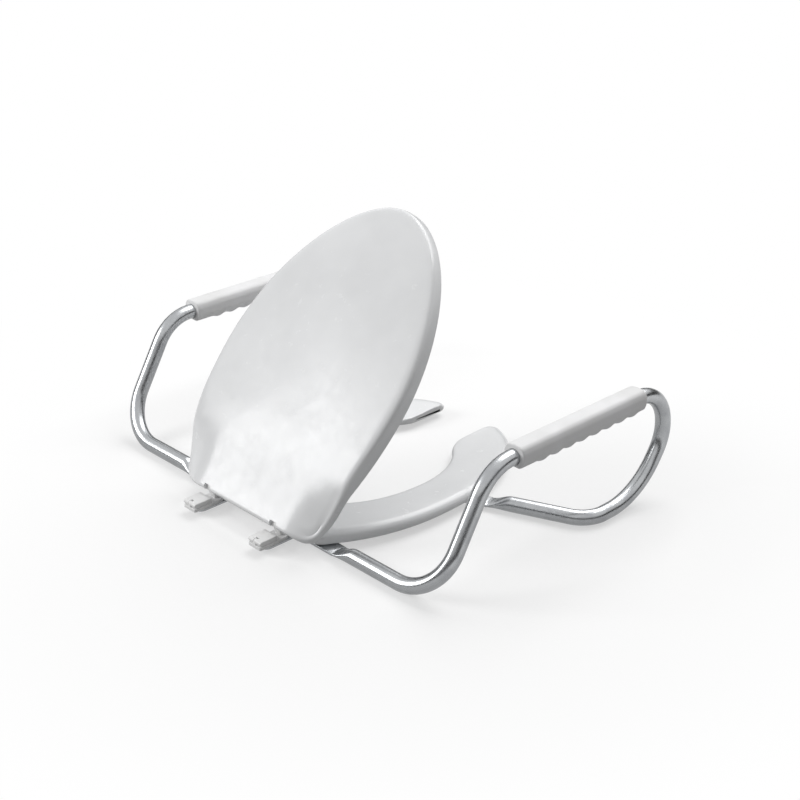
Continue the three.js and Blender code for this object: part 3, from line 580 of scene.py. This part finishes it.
class SEAT_OT_arms(Operator):
    """Bent stainless tubes with pressed ends"""

    bl_idname = "seat.arms"
    bl_label = "Support arms"

    def execute(self, context):
        arm = context.scene.seat_arm
        tube, rows = arm_tube(arm)
        ends = strap_ends(arm)
        for vertices, _ in ends:
            rows += [(v.x * MM, v.y * MM) for v in vertices]
        mesh = make_mesh("support_arm", [tube, *ends], rows)
        for side in SIDES:
            shape = mesh.copy() if side == "right" else mirrored(mesh)
            place("arm_tube_" + side, shape, finishes()["tube"], "base", "arm_steel", "support_arm_" + side)
        return {"FINISHED"}


# ---------------------------------------------------------------- grips

GRIP_UNDER = 14.8
GRIP_CHAMFER = 7
RIDGE_START, RIDGE_COUNT = 30, 8
RIDGE_STEPS = 14


def grip_section(grip, under):
    """The sleeve's outline about the tube's axis: a flat two-sided top, upright sides, a narrow underside."""
    side, top, c = grip.half_width, grip.top, GRIP_CHAMFER
    half = [
        (0, top),
        (side - c, top - 1.2),
        (side - c * 0.4, top - c * 0.55),
        (side, top - c * 1.4),
        (side, -c * 0.6),
        (side - c * 0.35, c * 0.5 - under),
        (side - c * 1.1, -under),
    ]
    corners = [Vector(p) for p in half] + [Vector((-x, z)) for x, z in reversed(half[1:])]
    return eased(corners, 2.2)


class SEAT_OT_grips(Operator):
    """Moulded sleeves with finger ridges"""

    bl_idname = "seat.grips"
    bl_label = "Grips"

    def execute(self, context):
        arm, grip = context.scene.seat_arm, context.scene.seat_grip
        y0, y1 = low("grip_right").y, high("grip_right").y
        rounding = 2.5
        stations = []
        for k in range(7):
            angle = math.pi / 2 * k / 6
            stations.append((rounding * (1 - math.cos(angle)), 0, rounding * (1 - math.sin(angle))))
        for k in range(RIDGE_COUNT * RIDGE_STEPS + 1):
            ridge = grip.ridge * math.sin(math.pi * k / RIDGE_STEPS) ** 2
            stations.append((RIDGE_START + k / RIDGE_STEPS * grip.pitch, ridge, 0))
        length = y1 - y0
        stations += [(length - along, 0, draw) for along, _, draw in reversed(stations[:7])]

        def ring(along, ridge, draw):
            outline = grip_section(grip, GRIP_UNDER + ridge)
            return [
                Vector((arm.span + p.x * s, y0 + along, arm.grip_height + p.y * s))
                for p in outline
                for s in [1 - draw / p.length]
            ]

        outside = [ring(*station) for station in stations]
        count = len(outside[0])
        bore = arm.tube / 2 + 0.3
        mouth = []
        for y in (y0, y1):
            turns = [math.atan2(p.z - arm.grip_height, p.x - arm.span) for p in outside[0]]
            mouth.append([
                Vector((arm.span + bore * math.cos(a), y, arm.grip_height + bore * math.sin(a)))
                for a in turns
            ])
        vertices, faces = skin([mouth[0], *outside, mouth[1]], closed=False)
        last = (len(outside) + 1) * count
        for i in range(count):
            j = (i + 1) % count
            faces.append((last + i, last + j, j, i))
        mesh = make_mesh("grip", [(vertices, faces)])
        for side in SIDES:
            shape = mesh.copy() if side == "right" else mirrored(mesh)
            place("grip_sleeve_" + side, shape, finishes()["grip_matt"], "base", "grip_plastic", "grip_" + side)
        return {"FINISHED"}


# ---------------------------------------------------------------- hinges

KNUCKLE_R = 7
POST_HALF = 6
LUG_HALF = 5
LUG_OFFSET = 11.3  # from the middle of the post to the middle of a lug
CAP_ROUND = 3.55


def hinge_base_mesh():
    """The plate, the post that carries the hinge pin, and the knuckle of the cap."""
    lo, hi = low("hinge_base_right"), high("hinge_base_right")
    plate_top = low("bolt_cap_right").z - 0.3
    half = (hi.x - lo.x) / 2
    corner = 3
    foot = arc((BOLT_X + half - corner, lo.y + corner), corner, -90, 0, 6)
    foot += arc((BOLT_X, hi.y - half), half, 0, 180, 28)
    foot += arc((BOLT_X - half + corner, lo.y + corner), corner, 180, 270, 6)
    post = [Vector((HINGE_Y - 2, plate_top - 1)), Vector((HINGE_Y + KNUCKLE_R * 1.5, plate_top - 1))]
    post += arc((HINGE_Y, HINGE_Z), KNUCKLE_R, 0, 235, 26)
    knuckle = [Vector((CAP_Y - CAP_ROUND, plate_top - 1)), Vector((CAP_Y + CAP_ROUND, plate_top - 1))]
    knuckle += arc((CAP_Y, CAP_Z), CAP_ROUND, 0, 180, 12)
    return make_mesh("hinge_base", [
        slab(foot, lo.z, plate_top, 0.8, plan),
        slab(post, BOLT_X - POST_HALF, BOLT_X + POST_HALF, 0.9, profile),
        slab(knuckle, BOLT_X - 2.5, BOLT_X + 2.5, 0.3, profile),
    ])


def bolt_cap_mesh():
    """The flip cap: a shell, round at its hinge, notched for the knuckle."""
    lo, hi = low("bolt_cap_right"), high("bolt_cap_right")
    half = (hi.x - lo.x) / 2
    wall = 1.6
    shape = [Vector((CAP_Y, lo.z)), Vector((hi.y, lo.z))]
    shape += arc((hi.y - 2, hi.z - 2), 2, 0, 90, 6)
    shape += arc((CAP_Y, CAP_Z), hi.z - CAP_Z, 90, 180, 8)
    shape += arc((CAP_Y, CAP_Z), CAP_ROUND, 190, 262, 6)
    outer = make_mesh("bolt_cap", [slab(shape, BOLT_X - half, BOLT_X + half, 1.2, profile)])
    hollow = box(
        (BOLT_X - half + wall, BOLT_X + half - wall),
        (CAP_Y + CAP_ROUND + 2 * wall, hi.y - wall),
        (lo.z - 1, hi.z - wall),
    )
    notch = box((BOLT_X - 2.8, BOLT_X + 2.8), (lo.y - 1, CAP_Y + 4.15), (lo.z - 1, hi.z + 1))
    return carve(outer, [hollow, notch])


class SEAT_OT_hinges(Operator):
    """Hinge bases and the caps over their bolts"""

    bl_idname = "seat.hinges"
    bl_label = "Hinge bases and caps"

    def execute(self, context):
        satin = finishes()["hinge_satin"]
        base, cap = hinge_base_mesh(), bolt_cap_mesh()
        for side in SIDES:
            twin = (lambda mesh: mesh.copy()) if side == "right" else mirrored
            place("hinge_foot_" + side, twin(base), satin, "base", "hinge_plastic", "hinge_base_" + side)
            place("flip_cap_" + side, twin(cap), satin, "cap_" + side, "hinge_plastic", "bolt_cap_" + side)
        return {"FINISHED"}


class SEAT_OT_bolts(Operator):
    """Socket-headed mounting bolts, seen when a cap is open"""

    bl_idname = "seat.bolts"
    bl_label = "Mounting bolts"

    def execute(self, context):
        lo, hi = low("mounting_bolt_right"), high("mounting_bolt_right")
        radius = (hi.x - lo.x) / 2
        head_z = hi.z - 5
        centre = (BOLT_X, 0)
        head = make_mesh("bolt_head", [disc(centre, radius, head_z, hi.z, 1.4)])
        socket = slab(arc(centre, 3.4, 0, 360, 6)[:-1], hi.z - 2.8, hi.z + 1, 0, plan)
        shank = make_mesh("bolt_shank", [disc(centre, 3.9, lo.z, head_z + 1, 0.5)])
        mesh = merge("mounting_bolt", [carve(head, [socket]), shank])
        for side in SIDES:
            shape = mesh.copy() if side == "right" else mirrored(mesh)
            place("bolt_" + side, shape, finishes()["rod"], "base", "bolt_steel", "mounting_bolt_" + side)
        return {"FINISHED"}


# ---------------------------------------------------------------- seat ring

RING_WIDEST_Y, RING_FRONT, RING_FRONT_POWER = 225, 258, 2.3
RING_REAR, RING_REAR_Y, RING_CORNER = 248, 40, 18
RING_UNDER, RING_TOP_REAR, RING_SLOPE = 10, 31, 0.0228
OPEN_HALF, OPEN_WIDEST_Y, OPEN_FRONT, OPEN_REAR, OPEN_POWER = 112, 245, 148, 155, 2.3
GAP_HALF, TIP_INNER_Y, TIP_CORNER, TIP_FILLET = 49.5, 402, 11, 24


def curve(points, count):
    """A quadratic curve through the end points, drawn towards the middle one."""
    a, b, c = points
    ts = [k / count for k in range(count + 1)]
    return [a * (1 - t) ** 2 + b * 2 * t * (1 - t) + c * t * t for t in ts]


def ring_outer_edge(seat):
    """Outer edge of the ring's right half, from the front gap to the middle of the rear."""
    points = []
    for k in range(161):
        angle = math.pi / 2 * (1 - k / 160)
        power = 2 / RING_FRONT_POWER
        x = seat.ring_half_width * max(0, math.cos(angle)) ** power
        if x > GAP_HALF + TIP_CORNER:
            points.append(Vector((x, RING_WIDEST_Y + RING_FRONT * max(0, math.sin(angle)) ** power)))
    tip = points[0]
    corner = [Vector((GAP_HALF, tip.y - TIP_CORNER)), Vector((GAP_HALF + 0.5, tip.y + 1.5)), tip]
    points = curve(corner, 10) + points[1:]
    for k in range(1, 161):
        angle = math.pi / 2 * k / 160
        y = RING_WIDEST_Y - RING_REAR * math.sin(angle)
        if y > RING_REAR_Y + RING_CORNER:
            points.append(Vector((seat.ring_half_width * math.cos(angle), y)))
    rear = points[-1]
    control = Vector((rear.x - RING_CORNER * 0.35, RING_REAR_Y))
    points += curve([rear, control, Vector((rear.x - RING_CORNER * 1.4, RING_REAR_Y))], 10)[1:]
    return points + [Vector((0, RING_REAR_Y))]


def ring_inner_edge():
    """Inner edge of the same half."""
    points = []
    for k in range(161):
        angle = math.pi / 2 * (1 - k / 160)
        x = OPEN_HALF * math.cos(angle)
        if x > GAP_HALF + TIP_FILLET:
            points.append(Vector((x, OPEN_WIDEST_Y + OPEN_FRONT * math.sin(angle))))
    start = Vector((GAP_HALF, TIP_INNER_Y))
    points = curve([start, Vector((GAP_HALF, TIP_INNER_Y - TIP_FILLET)), points[0]], 12)[:-1] + points
    for k in range(1, 161):
        angle = math.pi / 2 * k / 160
        power = 2 / OPEN_POWER
        x = OPEN_HALF * max(0, math.cos(angle)) ** power
        points.append(Vector((x, OPEN_WIDEST_Y - OPEN_REAR * math.sin(angle) ** power)))
    return points


def along(points, shares):
    """Points at shares of a line's length."""
    lengths = [0]
    for a, b in zip(points, points[1:]):
        lengths.append(lengths[-1] + (b - a).length)
    found, k = [], 0
    for share in shares:
        target = share * lengths[-1]
        while k < len(points) - 2 and lengths[k + 1] < target:
            k += 1
        span = lengths[k + 1] - lengths[k]
        found.append(points[k].lerp(points[k + 1], (target - lengths[k]) / span if span else 0))
    return found


def ring_section(inner, outer, draw):
    """The ring's outline between two edge points: dished, with a full outer shoulder."""
    across = (outer - inner).normalized()
    width = (outer - inner).length
    height = RING_TOP_REAR - RING_SLOPE * ((inner.y + outer.y) / 2 - RING_REAR_Y)
    under, crown = RING_UNDER + draw * 0.7, height - draw * 0.7
    corners = [
        (3, under),
        (0, under + 3),
        (0, crown - 6),
        (2, crown - 2.6),
        (6, crown - 1.8),
        (16, crown - 1.4),
        (width - 20, crown),
        (width - 10, crown - 0.6),
        (width - 5, crown - 2.4),
        (width - 1.6, crown - 5.4),
        (width, crown - 9),
        (width, under + 3),
        (width - 3, under),
    ]
    shape = eased([Vector(c) for c in corners], 3.0, 3)
    middle = width / 2
    squeeze = (middle - draw) / middle
    points = []
    for p in shape:
        at = inner + across * (middle + (p.x - middle) * squeeze)
        points.append(Vector((at.x, at.y, p.y)))
    return points


class SEAT_OT_ring(Operator):
    """The open-front ring with its hinge lugs"""

    bl_idname = "seat.ring"
    bl_label = "Seat ring"

    def execute(self, context):
        seat = context.scene.seat_seat
        count = 150
        shares = [0, 0.0015, 0.004, 0.007] + [0.011 + 0.989 * k / count for k in range(count + 1)]
        draws = [4, 2.2, 0.9, 0.2] + [0] * (count + 1)
        outer, inner = along(ring_outer_edge(seat), shares), along(ring_inner_edge(), shares)
        half = [ring_section(*pair) for pair in zip(inner, outer, draws)]
        other = [[Vector((-p.x, p.y, p.z)) for p in ring] for ring in reversed(half[:-1])]
        shells = [skin(half + other)]
        top = RING_TOP_REAR - 3
        for side in SIDES.values():
            x = side * (BOLT_X - LUG_OFFSET)
            lug = arc((HINGE_Y, HINGE_Z), KNUCKLE_R, 40, 270, 24)
            lug += [Vector((RING_REAR_Y + 12, HINGE_Z - KNUCKLE_R)), Vector((RING_REAR_Y + 12, top))]
            shells.append(slab(lug, x - LUG_HALF, x + LUG_HALF, 0.8, profile))
        mesh = make_mesh("seat_ring", shells)
        place("ring_body", mesh, finishes()["seat_gloss"], "ring", "seat_plastic", "seat_ring")
        return {"FINISHED"}


# ---------------------------------------------------------------- lid

LID_WIDEST, LID_FRONT, LID_POWER = 200, 265, 1.87
LID_REAR, LID_REAR_U, LID_CORNER = 315, -8, 28
LID_RIM, LID_EDGE_REAR, LID_EDGE, LID_EDGE_TIP = 4, 12, 25, 20
LID_RISE, LID_FALL, LID_CROWN, LID_DRAFT = 130, 300, 3, 9
RIM_DROP, CORNER_FALL, CORNER_X = 13, 15, 84  # at the rear corners
CORNER_SPAN, CORNER_REACH = 66, 95  # the fall spreads over this much x, and ends at this u
LID_BUMPER_X, LID_BUMPER_U = 146, 190
LID_TILT = math.radians(50) - math.atan(RING_SLOPE)


def lid_outline(seat):
    """The lid's rim, u forward from the hinge axis."""
    half = []
    for k in range(49):
        angle = math.pi / 2 * (1 - k / 48)
        power = 2 / LID_POWER
        x = seat.lid_half_width * max(0, math.cos(angle)) ** power
        half.append(Vector((x, LID_WIDEST + LID_FRONT * math.sin(angle) ** power)))
    turn = math.asin((LID_WIDEST - LID_REAR_U - LID_CORNER) / LID_REAR)
    for k in range(1, 31):
        angle = turn * k / 30
        half.append(
            Vector((seat.lid_half_width * math.cos(angle), LID_WIDEST - LID_REAR * math.sin(angle)))
        )
    side = half[-1]
    control = Vector((side.x - LID_CORNER * 0.3, LID_REAR_U))
    half += curve([side, control, Vector((side.x - LID_CORNER * 1.3, LID_REAR_U))], 12)[1:]
    start = half[-1].x
    half += [Vector((start * (1 - k / 14), LID_REAR_U)) for k in range(1, 15)]
    return half + [Vector((-p.x, p.y)) for p in reversed(half[1:-1])]


def top_face(point):
    """Height of the lid's top face before its crown. It falls away to the two rear corners."""
    u = point.y
    rise = (LID_EDGE - LID_EDGE_REAR) * ease((u - LID_REAR_U) / (LID_RISE - LID_REAR_U))
    tip_fall = (LID_EDGE - LID_EDGE_TIP) * ease((u - LID_FALL) / (LID_WIDEST + LID_FRONT - LID_FALL))
    corner_fall = CORNER_FALL * ease((abs(point.x) - CORNER_X) / CORNER_SPAN) * (1 - ease(u / CORNER_REACH))
    return LID_EDGE_REAR + rise - tip_fall - corner_fall


def rim_at(point):
    """Height of the skirt's lower edge, which hangs lower at the rear corners, outside the ring."""
    beside = ease((abs(point.x) - CORNER_X - 8) / 30)
    return LID_RIM - RIM_DROP * beside * (1 - ease((point.y - 20) / 60))


def lid_shell(seat):
    """The dished shell in the lid's own frame."""
    outline = lid_outline(seat)
    middle = Vector((0, LID_WIDEST))
    rims = [rim_at(p) for p in outline]
    heights = [top_face(p) - rim for p, rim in zip(outline, rims)]
    lean = [min(LID_DRAFT, height * 0.45) for height in heights]
    wall = seat.lid_wall

    def skirt(share, rise, inner, drop):
        edge = inset(outline, [distance * share + inner for distance in lean])
        return [
            Vector((p.x, p.y, rim + (height - drop) * rise)) for p, rim, height in zip(edge, rims, heights)
        ]

    def face(inner, drop, count):
        border = inset(outline, [distance * 2.3 + inner for distance in lean])
        rings = []
        for k in range(count):
            share = k / count
            crown = LID_CROWN * (1 - (1 - share) ** 2)
            points = [p.lerp(middle, share) for p in border]
            rings.append([Vector((p.x, p.y, top_face(p) + crown - drop)) for p in points])
        return rings

    steps = 12
    outside = [skirt(0, 0, 0.5, 0), skirt(0, 0.03, 0.1, 0)]
    for k in range(1, steps):
        # a leaning side that turns over into the face
        t = k / steps
        outside.append(skirt(0.75 * t + 1.55 * t**6, math.sin(math.pi / 2 * t) ** 0.9, 0, 0))
    outside += face(0, 0, 26)
    inside = [skirt(0, 0, wall * 0.8 - 0.4, 0), skirt(0.02, 0.03, wall * 0.8, 0)]
    inside += [skirt(0.5, 0.55, wall, wall), skirt(0.8, 0.78, wall, wall), skirt(1.15, 0.92, wall, wall)]
    inside += [skirt(1.7, 0.98, wall * 0.7, wall)]
    inside += face(wall * 0.4, wall, 24)
    return skin(list(reversed(inside)) + outside)


def to_rest(mesh):
    """Turns a mesh from the lid's own frame to where the lid stands open."""
    cosine, sine = math.cos(LID_TILT), math.sin(LID_TILT)
    for vertex in mesh.vertices:
        u, w = vertex.co.y - BOLT_LINE * MM, vertex.co.z
        vertex.co.y = (HINGE_Y + BOLT_LINE) * MM + u * cosine - w * sine
        vertex.co.z = HINGE_Z * MM + u * sine + w * cosine


class SEAT_OT_lid(Operator):
    """The lid, dished and skirted, with its lugs and the notches for the hinge posts"""

    bl_idname = "seat.lid"
    bl_label = "Lid"

    def execute(self, context):
        seat = context.scene.seat_seat
        shell = make_mesh("lid_shell", [lid_shell(seat)])
        notches, lugs = [], []
        for side in SIDES.values():
            post, ring_lug = side * BOLT_X, side * (BOLT_X - LUG_OFFSET)
            notches.append(box((post - 6.6, post + 6.6), (LID_REAR_U - 2, -0.6), (-8, LID_EDGE)))
            room = arc((0, 0), KNUCKLE_R + 0.5, 0, 360, 32)[:-1]
            ends = sorted((ring_lug - side * 5.6, post + side * 6.6))
            notches.append(slab(room, *ends, 0, profile))
            x = side * (BOLT_X + LUG_OFFSET)
            lug = arc((0, 0), KNUCKLE_R, 180, 370, 24)
            lug += [Vector((10, 6)), Vector((9, 10.5)), Vector((-5.5, 10.5))]
            lugs.append(slab(lug, x - LUG_HALF, x + LUG_HALF, 0.7, profile))
            lugs.append(disc((side * LID_BUMPER_X, LID_BUMPER_U), 7, LID_RIM + 1, LID_EDGE - 2, 0.6))
        mesh = merge("lid", [carve(shell, notches), make_mesh("lugs", lugs)])
        to_rest(mesh)
        place("lid_body", mesh, finishes()["seat_gloss"], "cover", "lid_plastic", "lid")
        return {"FINISHED"}


# ---------------------------------------------------------------- small pieces kept from the frame


class SEAT_OT_small_pieces(Operator):
    """Finishes for the pins, bushings and bumpers, which keep their CAD shapes"""

    bl_idname = "seat.small_pieces"
    bl_label = "Pins, bushings and bumpers"

    def execute(self, context):
        finish_of = {"pin_steel": "rod", "bushing_nylon": "nylon", "bumper_rubber": "rubber"}
        for part in frame["record"]["subparts"]:
            key = finish_of.get(part["material_slot"])
            if key:
                kept = frame["nodes"][part["node"]]
                for slot in kept.material_slots:
                    slot.material = finishes()[key]
        return {"FINISHED"}


# ---------------------------------------------------------------- stage

CAMERA_PLACE = Vector((1444.2, -1136.2, 1068.5))  # millimetres, Y from the bolt line
CAMERA_HEADING, CAMERA_PITCH, CAMERA_ROLL = (math.radians(a) for a in (45.415, 25.609, 0.88))


def white_rays(tree):
    """1 for a ray that looks at the background, directly or in a reflection."""
    path = add(tree, "ShaderNodeLightPath")
    seen = path.outputs["Is Camera Ray"]
    for other in ("Is Glossy Ray", "Is Transmission Ray"):
        seen = add(tree, "ShaderNodeMath", {"operation": "MAXIMUM"}, {0: seen, 1: path.outputs[other]}).outputs[0]
    return seen


def floor_material(colour):
    """Seamless paper: matt white, with the light that it throws back at the object held down."""
    made, tree, shader = material("paper_matt")
    tree.nodes.remove(shader)
    seen = white_rays(tree)
    position = add(tree, "ShaderNodeTexCoord").outputs["Object"]
    fibre = add(tree, "ShaderNodeTexNoise", {"Scale": 350.0, "Detail": 3.0}, {"Vector": position})
    paper = add(
        tree,
        "ShaderNodeMix",
        {"data_type": "RGBA", 6: linear("F8F8F8"), 7: linear(colour)},
        {0: fibre.outputs[0]},
    )
    looked_at = add(tree, "ShaderNodeLightPath").outputs["Is Camera Ray"]
    thrown = add(
        tree, "ShaderNodeMix", {"data_type": "RGBA", 6: linear("A0A0A0")}, {0: looked_at, 7: paper.outputs[2]}
    )
    diffuse = add(tree, "ShaderNodeBsdfDiffuse", {}, {"Color": thrown.outputs[2]})
    glow = add(tree, "ShaderNodeEmission", {"Color": linear(colour), "Strength": 1.0})
    distance = add(tree, "ShaderNodeVectorMath", {"operation": "LENGTH"}, {0: position})
    far = add(
        tree,
        "ShaderNodeMapRange",
        {"interpolation_type": "SMOOTHSTEP", 1: 0.3, 2: 0.85, 3: 0.5, 4: 1.0},
        {0: distance.outputs["Value"]},
    )
    share = add(tree, "ShaderNodeMath", {"operation": "MULTIPLY"}, {0: far.outputs[0], 1: seen})
    mix = add(tree, "ShaderNodeMixShader", {}, {0: share.outputs[0], 1: diffuse.outputs[0], 2: glow.outputs[0]})
    tree.links.new(mix.outputs[0], tree.nodes["Material Output"].inputs["Surface"])
    return made


def flag_material():
    """Black velvet on a screen round the set, which only reflections see."""
    made, tree, shader = material("velvet_black")
    shader.inputs["Roughness"].default_value = 0.9
    pile = add(tree, "ShaderNodeTexNoise", {"Scale": 40.0})
    tint = add(
        tree,
        "ShaderNodeMix",
        {"data_type": "RGBA", 6: linear("1A1A1A"), 7: linear("262626")},
        {0: pile.outputs[0]},
    )
    tree.links.new(tint.outputs[2], shader.inputs["Base Color"])
    return made


def stage_mesh(name, vertices, faces, finish):
    """A mesh that isn't part of the object, in metres."""
    mesh = bpy.data.meshes.new(name)
    mesh.from_pydata(vertices, [], faces)
    mesh.materials.append(finish)
    made = bpy.data.objects.new(name, mesh)
    bpy.context.scene.collection.objects.link(made)
    return made


def area_lamp(name, power, size, place_at, target):
    """A square soft lamp that faces the target."""
    data = bpy.data.lights.new(name, "AREA")
    data.energy, data.size = power, size
    lamp = bpy.data.objects.new(name, data)
    lamp.location = place_at
    lamp.rotation_euler = (Vector(target) - Vector(place_at)).to_track_quat("-Z", "Y").to_euler()
    bpy.context.scene.collection.objects.link(lamp)


class SEAT_OT_stage(Operator):
    """Floor, screen, lamps, even light and camera"""

    bl_idname = "seat.stage"
    bl_label = "Stage"

    def execute(self, context):
        stage = context.scene.seat_stage
        reach = 30
        stage_mesh(
            "floor",
            [(-reach, -reach, 0), (reach, -reach, 0), (reach, reach, 0), (-reach, reach, 0)],
            [(0, 1, 2, 3)],
            floor_material(stage.floor),
        )
        radius, sides, lift, height = 5.0, 64, 0.1, 1.7
        ring = [(radius * math.cos(a), radius * math.sin(a)) for a in (2 * math.pi * k / sides for k in range(sides))]
        vertices = [(x, y, z) for z in (lift, lift + height) for x, y in ring]
        faces = [(k, (k + 1) % sides, sides + (k + 1) % sides, sides + k) for k in range(sides)]
        screen = stage_mesh("reflection_screen", vertices, faces, flag_material())
        screen.visible_camera = screen.visible_diffuse = screen.visible_shadow = False
        area_lamp("key_lamp", stage.key, 1.5, (-1.8, -2.4, 1.5), (0, 0, 0.12))
        area_lamp("top_lamp", stage.top, 2.0, (-0.2, 1.5, 2.3), (0, 0.1, 0))

        world = bpy.data.worlds.new("studio")
        world.use_nodes = True
        tree = world.node_tree
        background = tree.nodes["Background"]
        level = add(
            tree, "ShaderNodeMapRange", {1: 0.0, 2: 1.0, 3: stage.ambient, 4: 1.0}, {0: white_rays(tree)}
        )
        tree.links.new(level.outputs[0], background.inputs["Strength"])
        background.inputs["Color"].default_value = (1, 1, 1, 1)
        context.scene.world = world

        heading = Vector((-math.sin(CAMERA_HEADING), math.cos(CAMERA_HEADING), 0))
        right = Vector((math.cos(CAMERA_HEADING), math.sin(CAMERA_HEADING), 0))
        forward = heading * math.cos(CAMERA_PITCH) - UP * math.sin(CAMERA_PITCH)
        upward = heading * math.sin(CAMERA_PITCH) + UP * math.cos(CAMERA_PITCH)
        rolled_right = right * math.cos(CAMERA_ROLL) + upward * math.sin(CAMERA_ROLL)
        rolled_up = upward * math.cos(CAMERA_ROLL) - right * math.sin(CAMERA_ROLL)
        data = bpy.data.cameras.new("camera")
        data.lens, data.sensor_width = 69.4, 36
        data.shift_x, data.shift_y = 0.0193, 0.0053
        data.clip_start, data.clip_end = 0.05, 100
        camera = bpy.data.objects.new("camera", data)
        spot = (CAMERA_PLACE + Vector((0, BOLT_LINE, 0))) * MM
        for row in range(3):
            camera.matrix_world[row] = (rolled_right[row], rolled_up[row], -forward[row], spot[row])
        context.scene.collection.objects.link(camera)
        context.scene.camera = camera
        context.scene.view_settings.view_transform = "Standard"
        return {"FINISHED"}


# ---------------------------------------------------------------- add-on

OPERATORS = (
    SEAT_OT_arms,
    SEAT_OT_grips,
    SEAT_OT_hinges,
    SEAT_OT_bolts,
    SEAT_OT_ring,
    SEAT_OT_lid,
    SEAT_OT_small_pieces,
    SEAT_OT_stage,
)
SETTINGS = {
    "seat_arm": ArmSettings,
    "seat_grip": GripSettings,
    "seat_seat": SeatSettings,
    "seat_stage": StageSettings,
}


class SEAT_PT_panel(Panel):
    """Settings and builders in the 3D view's sidebar"""

    bl_idname = "SEAT_PT_panel"
    bl_label = "Seat with arms"
    bl_space_type = "VIEW_3D"
    bl_region_type = "UI"
    bl_category = "Seat"

    def draw(self, context):
        for key, settings in SETTINGS.items():
            column = self.layout.box().column()
            for name in settings.__annotations__:
                column.prop(getattr(context.scene, key), name)
        for operator in OPERATORS:
            self.layout.operator(operator.bl_idname)


def register():
    for item in (*SETTINGS.values(), *OPERATORS, SEAT_PT_panel):
        bpy.utils.register_class(item)
    for key, settings in SETTINGS.items():
        setattr(bpy.types.Scene, key, PointerProperty(type=settings))


def unregister():
    for key in SETTINGS:
        delattr(bpy.types.Scene, key)
    for item in reversed((*SETTINGS.values(), *OPERATORS, SEAT_PT_panel)):
        bpy.utils.unregister_class(item)


def main():
    register()
    for operator in OPERATORS:
        group, name = operator.bl_idname.split(".")
        getattr(getattr(bpy.ops, group), name)()


if __name__ == "__main__":
    main()
